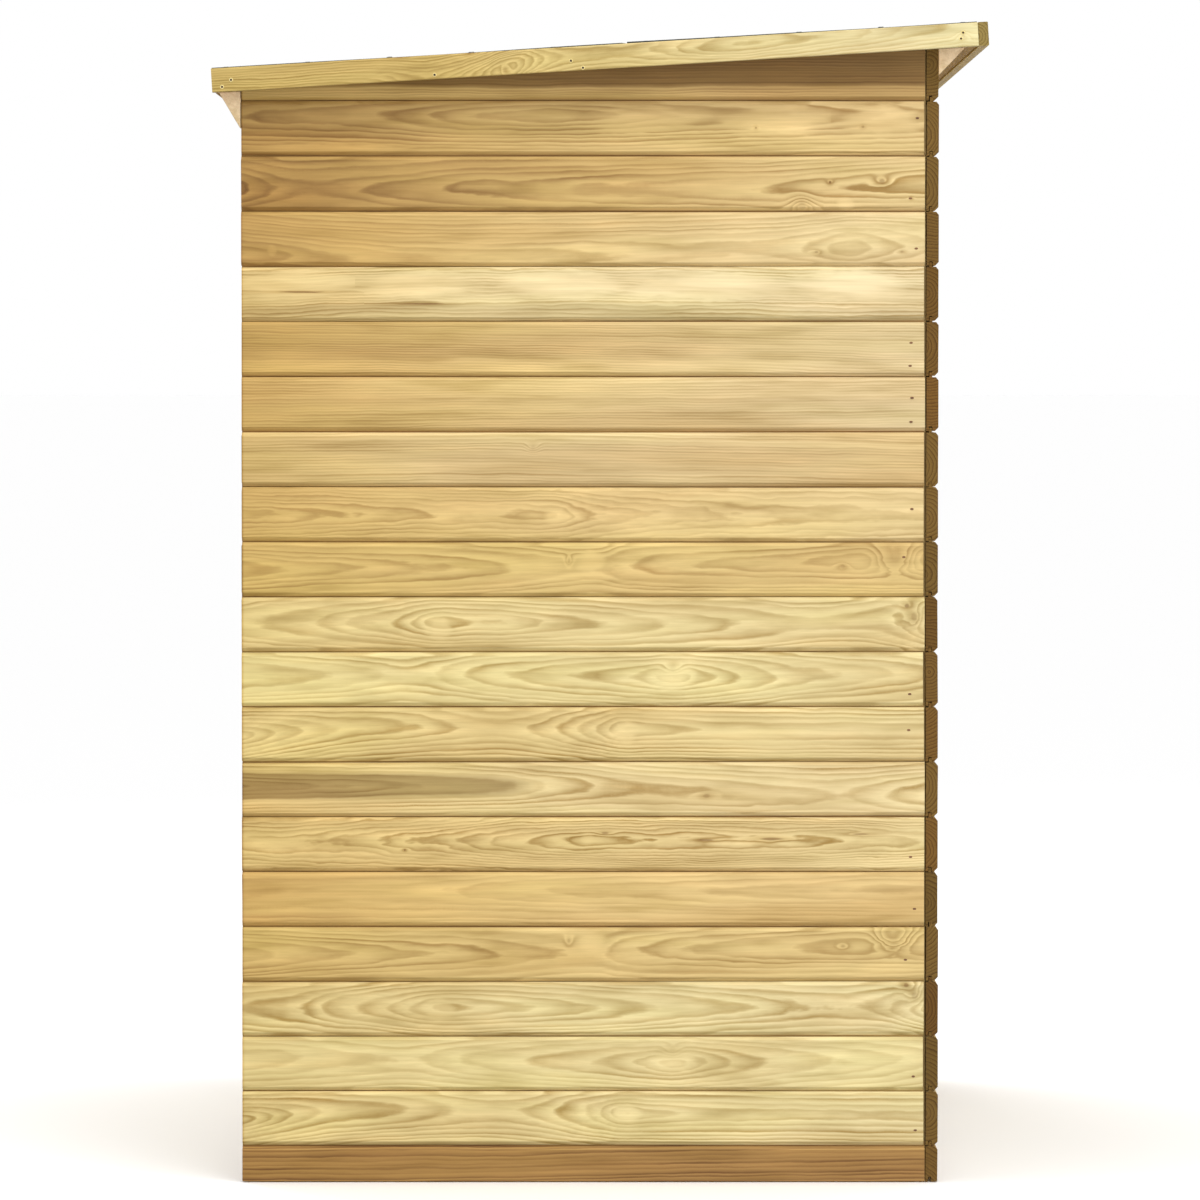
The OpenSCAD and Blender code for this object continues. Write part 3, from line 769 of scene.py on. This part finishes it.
rng = random.Random(7003)
sides = {"left": (YL, -DOOR_HALF), "right": (DOOR_HALF, YR)}
for side, (y0, y1) in sides.items():
    part = Build()
    for i, (z0, z1) in enumerate(LEVELS):
        if z0 < DOOR_Z0 - 0.001 or z1 > DOOR_Z1 + 0.001:
            continue
        clad(part, i, z0, z1 - z0, y1 - y0, lambda u, z, w, y=y0: (XF - w, y + u, z), wild(rng, y1 - y0), rng, 0.030,
             ends=(0.0008, 0.0004) if side == "left" else (0.0004, 0.0008))
    part.finish("front_wall_boards_" + side, PINE, "boards", "front_wall_" + side)
part = Build()
for i, (z0, z1) in enumerate(LEVELS):
    if z0 < DOOR_Z1 - 0.001:
        continue
    last = (lambda u: under_deck(XF - T) - LEVELS[-1][0]) if i == len(LEVELS) - 1 else None
    clad(part, i, z0, 0.11 if last else z1 - z0, 2 * YR, lambda u, z, w: (XF - w, YL + u, z), wild(rng, 2 * YR), rng, 0.030, last, ends=(0.0008, 0.0008))
part.finish("front_wall_boards_top", PINE, "boards", "front_wall_top")
part = Build()
fig = wild(rng, 2 * YR)
fig.stain(0.9)
clad(part, 0, 0.0, FIRST, 2 * YR, lambda u, z, w: (XF - w, YL + u, z), fig, rng, 0.030, ends=(0.0008, 0.0008))
part.finish("front_wall_sill_board", PINE, "boards", "front_sill")


# ------------------------------------------------------------------- sawn work
def eased(a, b, r=0.0018):
    """A rectangle a by b with eased corners."""
    return [(r, 0.0), (a - r, 0.0), (a - r * 0.3, r * 0.3), (a, r), (a, b - r), (a - r * 0.3, b - r * 0.3), (a - r, b), (r, b),
            (r * 0.3, b - r * 0.3), (0.0, b - r), (0.0, r), (r * 0.3, r * 0.3)]


def stick(build, lo, hi, along, rng, clip=None, r=0.0018, tones=(0.3, 0.4, 0.5, 0.6)):
    """A squared timber filling the box lo to hi, with its grain along the given axis. clip(x) is its top where the roof cuts it."""
    axes = {0: (0, 1, 2), 1: (1, 0, 2), 2: (2, 0, 1)}[along]
    size = [hi[k] - lo[k] for k in range(3)]
    outline = eased(size[axes[1]], size[axes[2]], r)
    fig = wild(rng, size[axes[0]], size[axes[1]], plain=0.6, knotty=0.3, tones=tones)

    def put(u, v, w):
        p = [0.0, 0.0, 0.0]
        p[axes[0]], p[axes[1]], p[axes[2]] = lo[axes[0]] + u, lo[axes[1]] + v, lo[axes[2]] + w
        if clip is not None:
            p[2] = min(p[2], clip(p[0]))
        return p
    build.prism(lambda u: outline, stations(size[axes[0]], 0.06), put, fig)


rng = random.Random(8117)
for node in ("corner_post_back_left", "corner_post_back_right", "corner_post_front_left", "corner_post_front_right", "left_stud", "right_stud"):
    part = Build()
    lo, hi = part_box(node)
    drop = 0.0004 + (0.034 / CT if node.endswith("stud") else 0.0)
    stick(part, lo, hi, 2, rng, lambda x, d=drop: under_roof(x) - d)
    part.finish(node + "_timber", SAWN, "framing", node)
for node in ("door_jamb_left", "door_jamb_right"):
    part = Build()
    lo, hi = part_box(node)
    stick(part, lo, hi, 2, rng)
    part.finish(node + "_timber", SAWN, "framing", node)
for node, along in (("left_bottom_rail", 0), ("right_bottom_rail", 0), ("back_bottom_rail", 1), ("front_bottom_rail", 1), ("door_head", 1)):
    part = Build()
    lo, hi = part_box(node)
    stick(part, lo, hi, along, rng)
    part.finish(node + "_timber", SAWN, "framing", node)
for node in ("back_top_rail", "front_top_rail"):
    part = Build()
    lo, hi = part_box(node)
    stick(part, lo, hi, 1, rng, lambda x: under_roof(x) - 0.0004)
    part.finish(node + "_timber", SAWN, "framing", node)
for node in ("left_top_rail", "right_top_rail"):
    part = Build()
    lo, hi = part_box(node)
    fig = wild(rng, hi.x - lo.x, 0.034, plain=0.7, knotty=0.3, tones=(0.3, 0.5))
    part.prism(lambda u: eased(0.034, 0.034), stations(hi.x - lo.x, 0.06),
               lambda u, v, w, a=lo: (a.x + u, a.y + v, under_roof(a.x + u) - (0.0344 - w) / CT), fig)
    part.finish(node + "_timber", SAWN, "framing", node)
part = Build()
lo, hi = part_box("back_studs")
for y0, y1 in ((lo.y, lo.y + 0.034), (hi.y - 0.034, hi.y)):
    stick(part, (lo.x, y0, lo.z), (hi.x, y1, hi.z), 2, rng)
part.finish("back_studs_timber", SAWN, "framing", "back_studs")

# ------------------------------------------------------------------------ roof
U_FRONT = 1.114 / CT
part = Build()
for u0, half in ((U_LO, ROOF_Y), ((T + 0.019 * ST) / CT, YR - T), (U_FRONT * 0.28 - 0.014, YR - T), (U_FRONT * 0.48 - 0.014, YR - T),
                 (U_FRONT * 0.73 - 0.014, YR - T), ((1.114 - T) / CT - 0.028, YR - T), (U_HI - 0.028, ROOF_Y)):
    fig = wild(rng, 2 * half, 0.028, plain=0.7, knotty=0.3, tones=(0.3, 0.5))
    # the two eave battens are darker all along, a painted shade under the roof's overhang
    if half == ROOF_Y:
        fig.stain(0.80)
    part.prism(lambda u: eased(0.028, 0.019), stations(2 * half, 0.06), lambda u, v, w, a=u0, b=half: roof(a + v, -b + u, w), fig)
part.finish("roof_batten_timbers", SAWN, "framing", "roof_battens")

part = Build()
rows = 21
wide = 2 * ROOF_Y / rows
for i in range(rows):
    points = [(0.0045, 0.0), (wide - 0.0045, 0.0), (wide - 0.0003, 0.0040), (wide - 0.0003, 0.015), (0.0003, 0.015), (0.0003, 0.0040)]
    fig = wild(rng, U_HI - U_LO, wide, tones=(0.2, 0.3, 0.4, 0.5))
    part.prism(lambda u, p=points: p, stations(U_HI - U_LO, 0.04), lambda u, v, w, y=-ROOF_Y + i * wide: roof(U_LO + u, y + v, 0.019 + w), fig, [0, 1, 5])
part.finish("roof_deck_boards", SAWN, "framing", "roof_deck")


def trim_profile(height, thick):
    r = 0.0016
    return [(r, 0.0), (height - r, 0.0), (height - r * 0.3, r * 0.3), (height, r), (height, thick - r * 0.5), (height - r * 0.5, thick), (r * 0.5, thick),
            (0.0, thick - r * 0.5), (0.0, r), (r * 0.3, r * 0.3)]


TRIM_H = TOP_W + TRIM_DROP
trim_tone = [(0.0, 0.62), (0.30, 0.54), (0.60, 0.36), (0.90, 0.18), (1.20, 0.0)]
trim_fig = {
    "left": Figure(0.43, trim_tone, [(0, 0.012), (0.25, 0.022), (0.34, 0.030), (0.40, 0.024), (0.44, 0.016), (0.466, 0.009), (0.485, 0.014), (0.53, 0.026), (0.64, 0.030), (0.86, 0.018), (1.2, 0.032)],
                   [(0, -0.012), (0.3, -0.004), (0.40, -0.004), (0.466, 0.007), (0.52, 0.020), (0.8, 0.026), (1.2, 0.034)], 0.0036, force=1.5, wander=1.2,
                   knots=[(0.466, 0.008, 0.008, 0.14, 1.3), (0.300, 0.0385, 0.004, 0.6, 6.0), (0.411, 0.0385, 0.004, 0.7, 4.0), (1.196, 0.017, 0.007, 0.15, 1.4)]),
    "right": Figure(0.63, trim_tone, [(0, 0.026), (0.5, 0.012), (1.2, 0.034)], [(0, 0.020), (1.2, 0.010)], 0.0040, force=1.2, wander=1.4),
}
for side, sign in (("left", -1), ("right", 1)):
    part = Build()
    part.prism(lambda u: trim_profile(TRIM_H, TRIM_T), stations(U_HI - U_LO - 0.0004, 0.02),
               lambda u, v, w, s=sign: roof(U_LO + u, s * (ROOF_Y + TRIM_T - w), -TRIM_DROP + v), trim_fig[side])
    part.finish(side + "_bargeboard_timber", TRIM, "trim", side + "_bargeboard")
part = Build()
fig = Figure(0.70, 0.45, [(0, 0.020), (0.6, 0.034), (1.2, 0.018), (1.922, 0.030)], [(0, 0.016), (1.0, 0.024), (1.922, 0.012)], 0.0052)
part.prism(lambda u: trim_profile(TRIM_H, TRIM_T), stations(2 * (ROOF_Y + TRIM_T), 0.03),
           lambda u, v, w: roof(U_HI + TRIM_T - w, -(ROOF_Y + TRIM_T) + u, -TRIM_DROP + v), fig)
part.finish("front_fascia_timber", TRIM, "trim", "front_fascia")

# Felt in two runs along the roof, the upper one lapped over the lower
me = bpy.data.meshes.new("roof_felt_sheets")
bm = bmesh.new()
felt_rng = random.Random(31)
waves = [(felt_rng.uniform(2, 9), felt_rng.uniform(2, 9), felt_rng.uniform(0, 6.28), felt_rng.uniform(0.00008, 0.00022)) for k in range(7)]


def felt_at(u, y):
    return sum(h * math.sin(a * u * 3 + b * y * 2 + c) for a, b, c, h in waves)


def felt_run(u0, u1, lift0, lift1, tuck=9.0):
    nu, ny = 44, 90
    top, low = [], []
    for i in range(nu + 1):
        u = u0 + (u1 - u0) * i / nu
        lift = lift0 + (lift1 - lift0) * min(1.0, (u - u0) / 0.16)
        for j in range(ny + 1):
            y = -ROOF_Y + 0.0005 + (2 * ROOF_Y - 0.001) * j / ny
            rim = 0.0007 if i in (0, nu) or j in (0, ny) else 0.0
            # the lower run is pressed thin where the upper one covers it
            top.append(bm.verts.new(roof(u, y, 0.0350 if u > tuck else 0.0384 + lift + felt_at(u, y) - rim)))
            low.append(bm.verts.new(roof(u, y, 0.0342 + lift)))
    w = ny + 1
    for i in range(nu):
        for j in range(ny):
            k = i * w + j
            bm.faces.new((top[k], top[k + w], top[k + w + 1], top[k + 1])).smooth = True
            bm.faces.new((low[k + 1], low[k + w + 1], low[k + w], low[k]))
    for j in range(ny):
        bm.faces.new((top[j + 1], low[j + 1], low[j], top[j]))
        k = nu * w + j
        bm.faces.new((top[k], low[k], low[k + 1], top[k + 1]))
    for i in range(nu):
        k = i * w
        bm.faces.new((top[k], low[k], low[k + w], top[k + w]))
        k = i * w + ny
        bm.faces.new((top[k + w], low[k + w], low[k], top[k]))


LAP = 0.62
felt_run(U_LO + 0.0006, LAP + 0.075, 0.0, 0.0, LAP + 0.004)
felt_run(LAP, U_HI - 0.0006, 0.0011, 0.0002)
bmesh.ops.recalc_face_normals(bm, faces=bm.faces)
bm.to_mesh(me)
bm.free()
me.materials.append(FELT)
settle(bpy.data.objects.new("roof_felt_sheets", me), "felt", "roof_felt")

# -------------------------------------------------------------------- brackets
rng = random.Random(9241)


def bracket(node):
    lo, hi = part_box(node)
    low_side = "back" in node
    x_wall, reach = (hi.x, lo.x) if low_side else (lo.x, hi.x)
    s = -1 if low_side else 1
    size = abs(reach - x_wall)
    fall = under_roof(x_wall) - lo.z
    e = 0.0014
    # outline in the XZ plane: along the roof, down the slope, up the wall
    corners = [(x_wall, under_roof(x_wall) - 0.0005), (reach - s * e, under_roof(reach - s * e) - 0.0005), (reach - s * e, under_roof(reach) - e * 2.0),
               (x_wall + s * e, lo.z + e * 0.6), (x_wall, lo.z + e)]
    part = Build()
    fig = Figure(rng.random(), rng.uniform(0.0, 0.35), [(0, 0.03), (0.03, 0.032)], [(0, rng.uniform(-0.02, 0.02)), (0.03, rng.uniform(-0.02, 0.02))], 0.006)
    origin = Vector((x_wall, lo.y, under_roof(x_wall)))
    points = [((x - origin.x) * s, z - origin.z) for x, z in corners]
    ease = 0.0012

    def profile(u):
        inset = ease if u < 0.0005 or u > hi.y - lo.y - 0.0005 else 0.0
        cx, cz = size / 3, -fall / 3
        return [(v + (cx - v) * inset / 0.02, w + (cz - w) * inset / 0.02) for v, w in points]
    part.prism(profile, [0.0, 0.0012, (hi.y - lo.y) / 2, hi.y - lo.y - 0.0012, hi.y - lo.y],
               lambda u, v, w: (origin.x + s * v, origin.y + u, origin.z + w), fig)
    part.at["tone"] = [(t[0], t[1], 0.0) for t in part.at["tone"]]
    part.finish(node + "_block", PALE_WITH_PAINTED_LIGHT, "brackets", node)


for where in ("back", "front"):
    for spot in ("left", "middle", "right"):
        bracket("bracket_%s_%s" % (where, spot))

# ------------------------------------------------------------------------ door
rng = random.Random(1277)
part = Build()
boards = 8
wide = (LEAF_HI.y - LEAF_LO.y) / boards
tall = LEAF_HI.z - LEAF_LO.z
for i in range(boards):
    points, shown, painted_light_shift = matched(wide, tongue=i < boards - 1, lower=i > 0)
    fig = wild(rng, tall, wide, tones=(0.1, 0.2, 0.3, 0.4, 0.5))
    push = rng.uniform(0.0, 0.0005)
    part.prism(lambda u, p=points: p, stations(tall, 0.03), lambda u, v, w, y=LEAF_LO.y + i * wide, d=push: (XF - w - d * 0.5, y + v, LEAF_LO.z + u), fig, shown, painted_light_shift)
part.finish("door_leaf_boards", PINE, "boards", "door_leaf")

part = Build()
lo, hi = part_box("door_ledges")
span_z = [(lo.z, lo.z + 0.09), ((lo.z + hi.z) / 2 - 0.045, (lo.z + hi.z) / 2 + 0.045), (hi.z - 0.09, hi.z)]
for z0, z1 in span_z:
    stick(part, (lo.x, lo.y, z0), (hi.x, hi.y, z1), 1, rng, r=0.003)
part.finish("door_ledge_timbers", SAWN, "framing", "door_ledges")

part = Build()
lo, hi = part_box("door_braces")
for i in (0, 1):
    z0, z1 = span_z[i][1], span_z[i + 1][0]
    foot = 0.110
    lean = (hi.y - lo.y - foot) / (z1 - z0)
    fig = wild(rng, z1 - z0, foot, plain=0.5, tones=(0.3, 0.5))
    part.prism(lambda u: eased(foot, hi.x - lo.x, 0.002), stations(z1 - z0, 0.05),
               lambda u, v, w, z=z0, k=lean: (lo.x + w, lo.y + v + k * u, z + u), fig)
part.finish("door_brace_timbers", SAWN, "framing", "door_braces")


# -------------------------------------------------------------------- ironwork
def plate(bm, outline, x0, thick, ease=0.0006):
    """A flat plate on the front, drawn in Y and Z, with eased edges on its outer face."""
    cy = sum(p[0] for p in outline) / len(outline)
    cz = sum(p[1] for p in outline) / len(outline)

    def inset(p, d):
        v = Vector((cy - p[0], cz - p[1]))
        return (p[0] + v.x / v.length * d, p[1] + v.y / v.length * d) if v.length > 1e-9 else p
    loops = [[bm.verts.new((x0, y, z)) for y, z in outline], [bm.verts.new((x0 + thick - ease, y, z)) for y, z in outline],
             [bm.verts.new((x0 + thick, *inset(p, ease * 1.3))) for p in outline]]
    n = len(outline)
    for a, b in zip(loops, loops[1:]):
        for i in range(n):
            bm.faces.new((a[i], a[(i + 1) % n], b[(i + 1) % n], b[i]))
    bm.faces.new(loops[-1])
    bm.faces.new(loops[0][::-1])


def round_corners(y0, z0, y1, z1, r, n=4):
    out = []
    for cy, cz, start in ((y1 - r, z1 - r, 0), (y0 + r, z1 - r, 90), (y0 + r, z0 + r, 180), (y1 - r, z0 + r, 270)):
        for k in range(n + 1):
            a = math.radians(start + 90 * k / n)
            out.append((cy + r * math.cos(a), cz + r * math.sin(a)))
    return out


def lathe(bm, axis_at, axis, profile, n=20):
    """Turns (along, radius) points about a line."""
    axis = Vector(axis).normalized()
    side = axis.orthogonal().normalized()
    up = axis.cross(side)
    rings = []
    for s, r in profile:
        c = Vector(axis_at) + axis * s
        rings.append([bm.verts.new(c + (side * math.cos(6.28318531 * k / n) + up * math.sin(6.28318531 * k / n)) * max(r, 1e-5)) for k in range(n)])
    for a, b in zip(rings, rings[1:]):
        for k in range(n):
            bm.faces.new((a[k], a[(k + 1) % n], b[(k + 1) % n], b[k])).smooth = True
    bm.faces.new(rings[0][::-1])
    bm.faces.new(rings[-1])


def iron_piece(name, make, node, screws):
    me = bpy.data.meshes.new(name)
    bm = bmesh.new()
    make(bm)
    count = len(bm.faces)
    bm.faces.ensure_lookup_table()
    for x, y, z in screws:
        lathe(bm, (x, y, z), (1, 0, 0), [(-0.0006, 0.0044), (0.0006, 0.0042), (0.0014, 0.0030), (0.0015, 0.0012), (0.0009, 0.0011), (0.0009, 0.0)], 16)
    bmesh.ops.recalc_face_normals(bm, faces=bm.faces)
    bm.faces.ensure_lookup_table()
    for i, f in enumerate(bm.faces):
        f.material_index = 0 if i < count else 1
    bm.to_mesh(me)
    bm.free()
    me.materials.append(IRON)
    me.materials.append(SCREW)
    settle(bpy.data.objects.new(name, me), "ironwork", node)


def hinge(node):
    lo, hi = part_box(node)
    z = (lo.z + hi.z) / 2
    yk = lo.y + 0.042

    def make(bm):
        plate(bm, round_corners(yk - 0.042, z - 0.055, yk - 0.002, z + 0.055, 0.006), XF, 0.003)
        strap = [(yk + 0.002, z - 0.021), (yk + 0.286, z - 0.0105)]
        tip = [(yk + 0.286 + 0.014 * math.cos(math.radians(a)), z + 0.0105 * math.sin(math.radians(a))) for a in (-70, -45, -20, 0, 20, 45, 70)]
        plate(bm, strap + tip + [(yk + 0.286, z + 0.0105), (yk + 0.002, z + 0.021)], XF, 0.003)
        for k, (a, b) in enumerate(((-0.055, -0.0225), (-0.0215, 0.0215), (0.0225, 0.055))):
            lathe(bm, (XF + 0.005, yk, z), (0, 0, 1), [(a, 0.0), (a, 0.0044), (a + 0.0006, 0.005), (b - 0.0006, 0.005), (b, 0.0044), (b, 0.0)], 24)
    dots = [(XF + 0.003, yk - 0.024, z + k) for k in (-0.040, 0.0, 0.040)]
    dots += [(XF + 0.003, yk + d, z) for d in (0.045, 0.120, 0.195, 0.270)]
    iron_piece(node + "_strap", make, node, dots)


hinge("hinge_top")
hinge("hinge_bottom")


def staple(bm, y0, y1, z, high, half, thick=0.0022):
    """A pressed strap that arches over the bolt, from wall plate to wall plate."""
    path = [(-half - 0.008, 0.003)] + [(half * math.cos(math.radians(a)), 0.003 + (high - 0.003) * math.sin(math.radians(a))) for a in range(180, -1, -15)] + [(half + 0.008, 0.003)]
    loops = []
    for i, (dz, dx) in enumerate(path):
        a, b = path[max(i - 1, 0)], path[min(i + 1, len(path) - 1)]
        n = Vector((-(b[1] - a[1]), b[0] - a[0]))
        n.normalize()
        loops.append([bm.verts.new((XF + dx, y0, z + dz)), bm.verts.new((XF + dx, y1, z + dz)),
                      bm.verts.new((XF + dx + n.y * thick, y1, z + dz + n.x * thick)), bm.verts.new((XF + dx + n.y * thick, y0, z + dz + n.x * thick))])
    for a, b in zip(loops, loops[1:]):
        for k in range(4):
            bm.faces.new((a[k], a[(k + 1) % 4], b[(k + 1) % 4], b[k]))
    bm.faces.new(loops[0][::-1])
    bm.faces.new(loops[-1])


def bolt():
    lo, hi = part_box("door_bolt")
    z = (lo.z + hi.z) / 2
    y1 = LEAF_HI.y

    def make(bm):
        plate(bm, round_corners(y1 - 0.130, z - 0.018, y1 - 0.008, z + 0.018, 0.004), XF, 0.003)
        for y in (y1 - 0.122, y1 - 0.034):
            staple(bm, y, y + 0.018, z, 0.0160, 0.0085)
        lathe(bm, (XF + 0.0100, y1 - 0.128, z), (0, 1, 0), [(0.0, 0.0), (0.0, 0.0050), (0.001, 0.006), (0.158, 0.006), (0.162, 0.0044), (0.162, 0.0)], 24)
        lathe(bm, (XF + 0.0100, y1 - 0.070, z), (1, 0, 0), [(0.0, 0.0), (0.0, 0.0036), (0.013, 0.0034), (0.0165, 0.0050), (0.0205, 0.0066), (0.0240, 0.0058), (0.0260, 0.0030), (0.0260, 0.0)], 24)
    dots = [(XF + 0.003, y, z + s * 0.0136) for y in (y1 - 0.092, y1 - 0.052) for s in (-1, 1)]
    iron_piece("door_bolt_set", make, "door_bolt", dots)
    lo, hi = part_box("bolt_keep")

    def keep(bm):
        plate(bm, round_corners(lo.y, z - 0.018, hi.y, z + 0.018, 0.004), XF, 0.003)
        staple(bm, lo.y + 0.008, lo.y + 0.024, z, 0.0175, 0.0088)
    iron_piece("bolt_keep_set", keep, "bolt_keep", [(XF + 0.003, lo.y + 0.031, z + s * 0.011) for s in (-1, 1)])


bolt()


# ----------------------------------------------------------------------- nails
def nails(name, spots, slot, radius=0.0021, n=12, high=0.0004, material=NAIL, grain=None, pit=None):
    """Round nail heads, each as (point, outward direction), driven almost flush. Along the grain the bruise round a
    head is longer. With a pit the head is sunk in a ring of bruised wood, and the dimple in its middle takes the pit
    material, dark as a painted shade.
    """
    me = bpy.data.meshes.new(name)
    bm = bmesh.new()
    for p, d in spots:
        count, first = len(bm.verts), len(bm.faces)
        if pit:
            lathe(bm, p, d, [(-0.0020, radius * 0.8), (0.0, radius), (high * 0.6, radius * 0.9), (high, radius * 0.74), (high * 0.6, radius * 0.58), (high * 0.25, radius * 0.54), (high * 0.3, 0.0)], n)
            bm.faces.ensure_lookup_table()
            # the dimple takes the dark pit material, a painted shade
            for f in bm.faces[first + 4 * n:first + 6 * n]:
                f.material_index = 1
            bm.faces[-1].material_index = 1
        else:
            lathe(bm, p, d, [(-0.0020, radius * 0.8), (0.0, radius), (high * 0.8, radius * 0.96), (high, radius * 0.7), (high * 0.9, 0.0)], n)
        if grain:
            bm.verts.ensure_lookup_table()
            for v in bm.verts[count:]:
                v.co += Vector(grain) * (v.co - Vector(p)).dot(Vector(grain)) * 0.7
    bmesh.ops.recalc_face_normals(bm, faces=bm.faces)
    bm.to_mesh(me)
    bm.free()
    me.materials.append(material)
    if pit:
        me.materials.append(pit)
    return settle(bpy.data.objects.new(name, me), slot)


rng = random.Random(2222)
spots = {"left": [], "right": [], "back": [], "front": []}
for i, (z0, z1) in enumerate(LEVELS):
    mid = (z0 + min(z1, BACK_H)) / 2
    for x in (near_u(268), near_u(912)):
        z = (z0 + z1) / 2 + rng.uniform(-0.022, 0.022)
        if z > under_roof(XB + x) - 0.012:
            continue
        spots["right"].append(((XB + x + rng.uniform(-0.006, 0.006), YR, z), (0, 1, 0)))
    if z1 < BACK_H:
        for y in (YL + 0.036, -0.3, 0.3, YR - 0.036):
            spots["back"].append(((XB, y + rng.uniform(-0.005, 0.005), mid + rng.uniform(-0.014, 0.014)), (-1, 0, 0)))
    in_door = DOOR_Z0 - 0.001 < z0 < DOOR_Z1 - 0.001
    for y in (YL + 0.036, YR - 0.036, -DOOR_HALF - 0.013, DOOR_HALF + 0.013):
        z = (z0 + min(z1, under_roof(XF))) / 2
        spots["front"].append(((XF, y + rng.uniform(-0.004, 0.004), z + rng.uniform(-0.014, 0.014)), (1, 0, 0)))
# on the near wall the heads show at its high end only
for px, py in ((916, 118), (909, 198), (915, 248), (910, 342), (909, 365), (911, 397), (910, 421), (911, 508), (903, 556), (909, 693), (908, 729), (910, 856),
               (914, 908), (905, 959), (913, 1076), (915, 1130), (905, 1151)):
    spots["left"].append(((XB + near_u(px), YL, (1182.0 - py) * PX), (0, -1, 0)))
for side, made in spots.items():
    nails(side + "_wall_nails", made, "boards", 0.0017, material=RUST, grain=(1, 0, 0) if side in ("left", "right") else (0, 1, 0))


def on_trim(px, py):
    """A nail in the near bargeboard, from its place in the photo."""
    m = PX * (12.0 - 0.046) / 12.0
    x, z = (px - 600.0) * m, 1.2768 + (384.0 - py) * m
    u = ((x - XB) * CT + (z - BACK_H) * ST)
    w = (-(x - XB) * ST + (z - BACK_H) * CT)
    return u, w


edge = []
for px, py in ((232, 80), (223, 87), (435, 75), (571, 61), (583, 68), (960, 39), (962, 33)):
    u, w = on_trim(px, py)
    for sign in (-1, 1):
        edge.append((roof(u, sign * (ROOF_Y + TRIM_T), w), (0, sign, 0)))
for k in range(7):
    y = -0.90 + k * 0.30
    edge.append((roof(U_HI + TRIM_T, y, 0.012 + 0.010 * (k % 2)), (CT, 0, ST)))
nails("roof_trim_nails", edge, "trim", 0.0033, 14, 0.0007, BRUISE, pit=PIT_PAINTED_SHADE)

clout = []
for k in range(14):
    y = -0.92 + k * 1.84 / 13
    clout.append((roof(U_LO + 0.022, y, 0.0384), (-ST, 0, CT)))
    clout.append((roof(U_HI - 0.022, y, 0.0386), (-ST, 0, CT)))
    clout.append((roof(LAP + 0.030, y, 0.0394), (-ST, 0, CT)))
for k in range(1, 9):
    u = U_LO + 0.022 + (U_HI - U_LO - 0.044) * k / 9
    for sign in (-1, 1):
        clout.append((roof(u, sign * (ROOF_Y - 0.022), 0.0385 + (0.0004 if LAP < u else 0.0)), (-ST, 0, CT)))
nails("roof_clout_nails", clout, "felt", 0.0046, 14, 0.0008, CLOUT)

# --------------------------------------------------------------- floor, light
me = bpy.data.meshes.new("floor")
me.from_pydata([(-900, -900, -0.0005), (900, -900, -0.0005), (900, 900, -0.0005), (-900, 900, -0.0005)], [], [(0, 1, 2, 3)])
floor = bpy.data.objects.new("floor", me)
bpy.context.scene.collection.objects.link(floor)
g = Graph("pale_floor")
g.bsdf.inputs["Base Color"].default_value = (0.99, 0.99, 0.99, 1.0)
g.bsdf.inputs["Roughness"].default_value = 0.95
g.bsdf.inputs["Specular IOR Level"].default_value = 0.1
me.materials.append(g.mat)
floor.visible_diffuse = False
floor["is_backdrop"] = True

# white above the horizon and dim below it, as over a pale floor
world = bpy.data.worlds.new("studio")
bpy.context.scene.world = world
world.use_nodes = True
wt = world.node_tree
back = wt.nodes["Background"]
back.inputs[0].default_value = (1.0, 1.0, 1.0, 1.0)
way = wt.nodes.new("ShaderNodeTexCoord")
axis = wt.nodes.new("ShaderNodeSeparateXYZ")
rise = wt.nodes.new("ShaderNodeMapRange")
wt.links.new(way.outputs["Generated"], axis.inputs[0])
wt.links.new(axis.outputs[2], rise.inputs["Value"])
for i, value in enumerate((-0.10, -0.01, 0.32, 1.0)):
    rise.inputs[i + 1].default_value = value
wt.links.new(rise.outputs[0], back.inputs[1])


def softbox(name, at, aim, size, power, colour=(1, 1, 1)):
    data = bpy.data.lights.new(name, "AREA")
    data.shape, data.size, data.size_y, data.energy, data.color = "RECTANGLE", size[0], size[1], power, colour
    ob = bpy.data.objects.new(name, data)
    bpy.context.scene.collection.objects.link(ob)
    ob.location = at
    ob.rotation_euler = (Vector(aim) - Vector(at)).to_track_quat("-Z", "Y").to_euler()
    ob.visible_camera = False
    return ob


softbox("key", (1.5, -6.5, 0.95), (0.1, -0.9, 0.55), (3.0, 1.8), 142)
softbox("top", (1.3, -3.4, 5.2), (0.1, -0.9, 0.7), (2.6, 1.8), 72)
softbox("rear", (-2.2, 4.5, 5.0), (-0.6, 0.5, 0.6), (4.0, 3.0), 130)

scene = bpy.context.scene
scene.view_settings.view_transform = "Standard"
scene.view_settings.look = "None"

cam_data = bpy.data.cameras.new("camera")
cam_data.sensor_width = 36.0
cam_data.lens = 225.27
cam_data.clip_end = 3000.0
camera = bpy.data.objects.new("camera", cam_data)
scene.collection.objects.link(camera)
camera.location = (0.0, YL - 12.0, 1.2768)
camera.rotation_euler = (math.radians(90) - math.atan2(1.2768 - 0.9312, 12.0) + 0.000146, 0.0, 0.0)
scene.camera = camera

lo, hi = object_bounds()
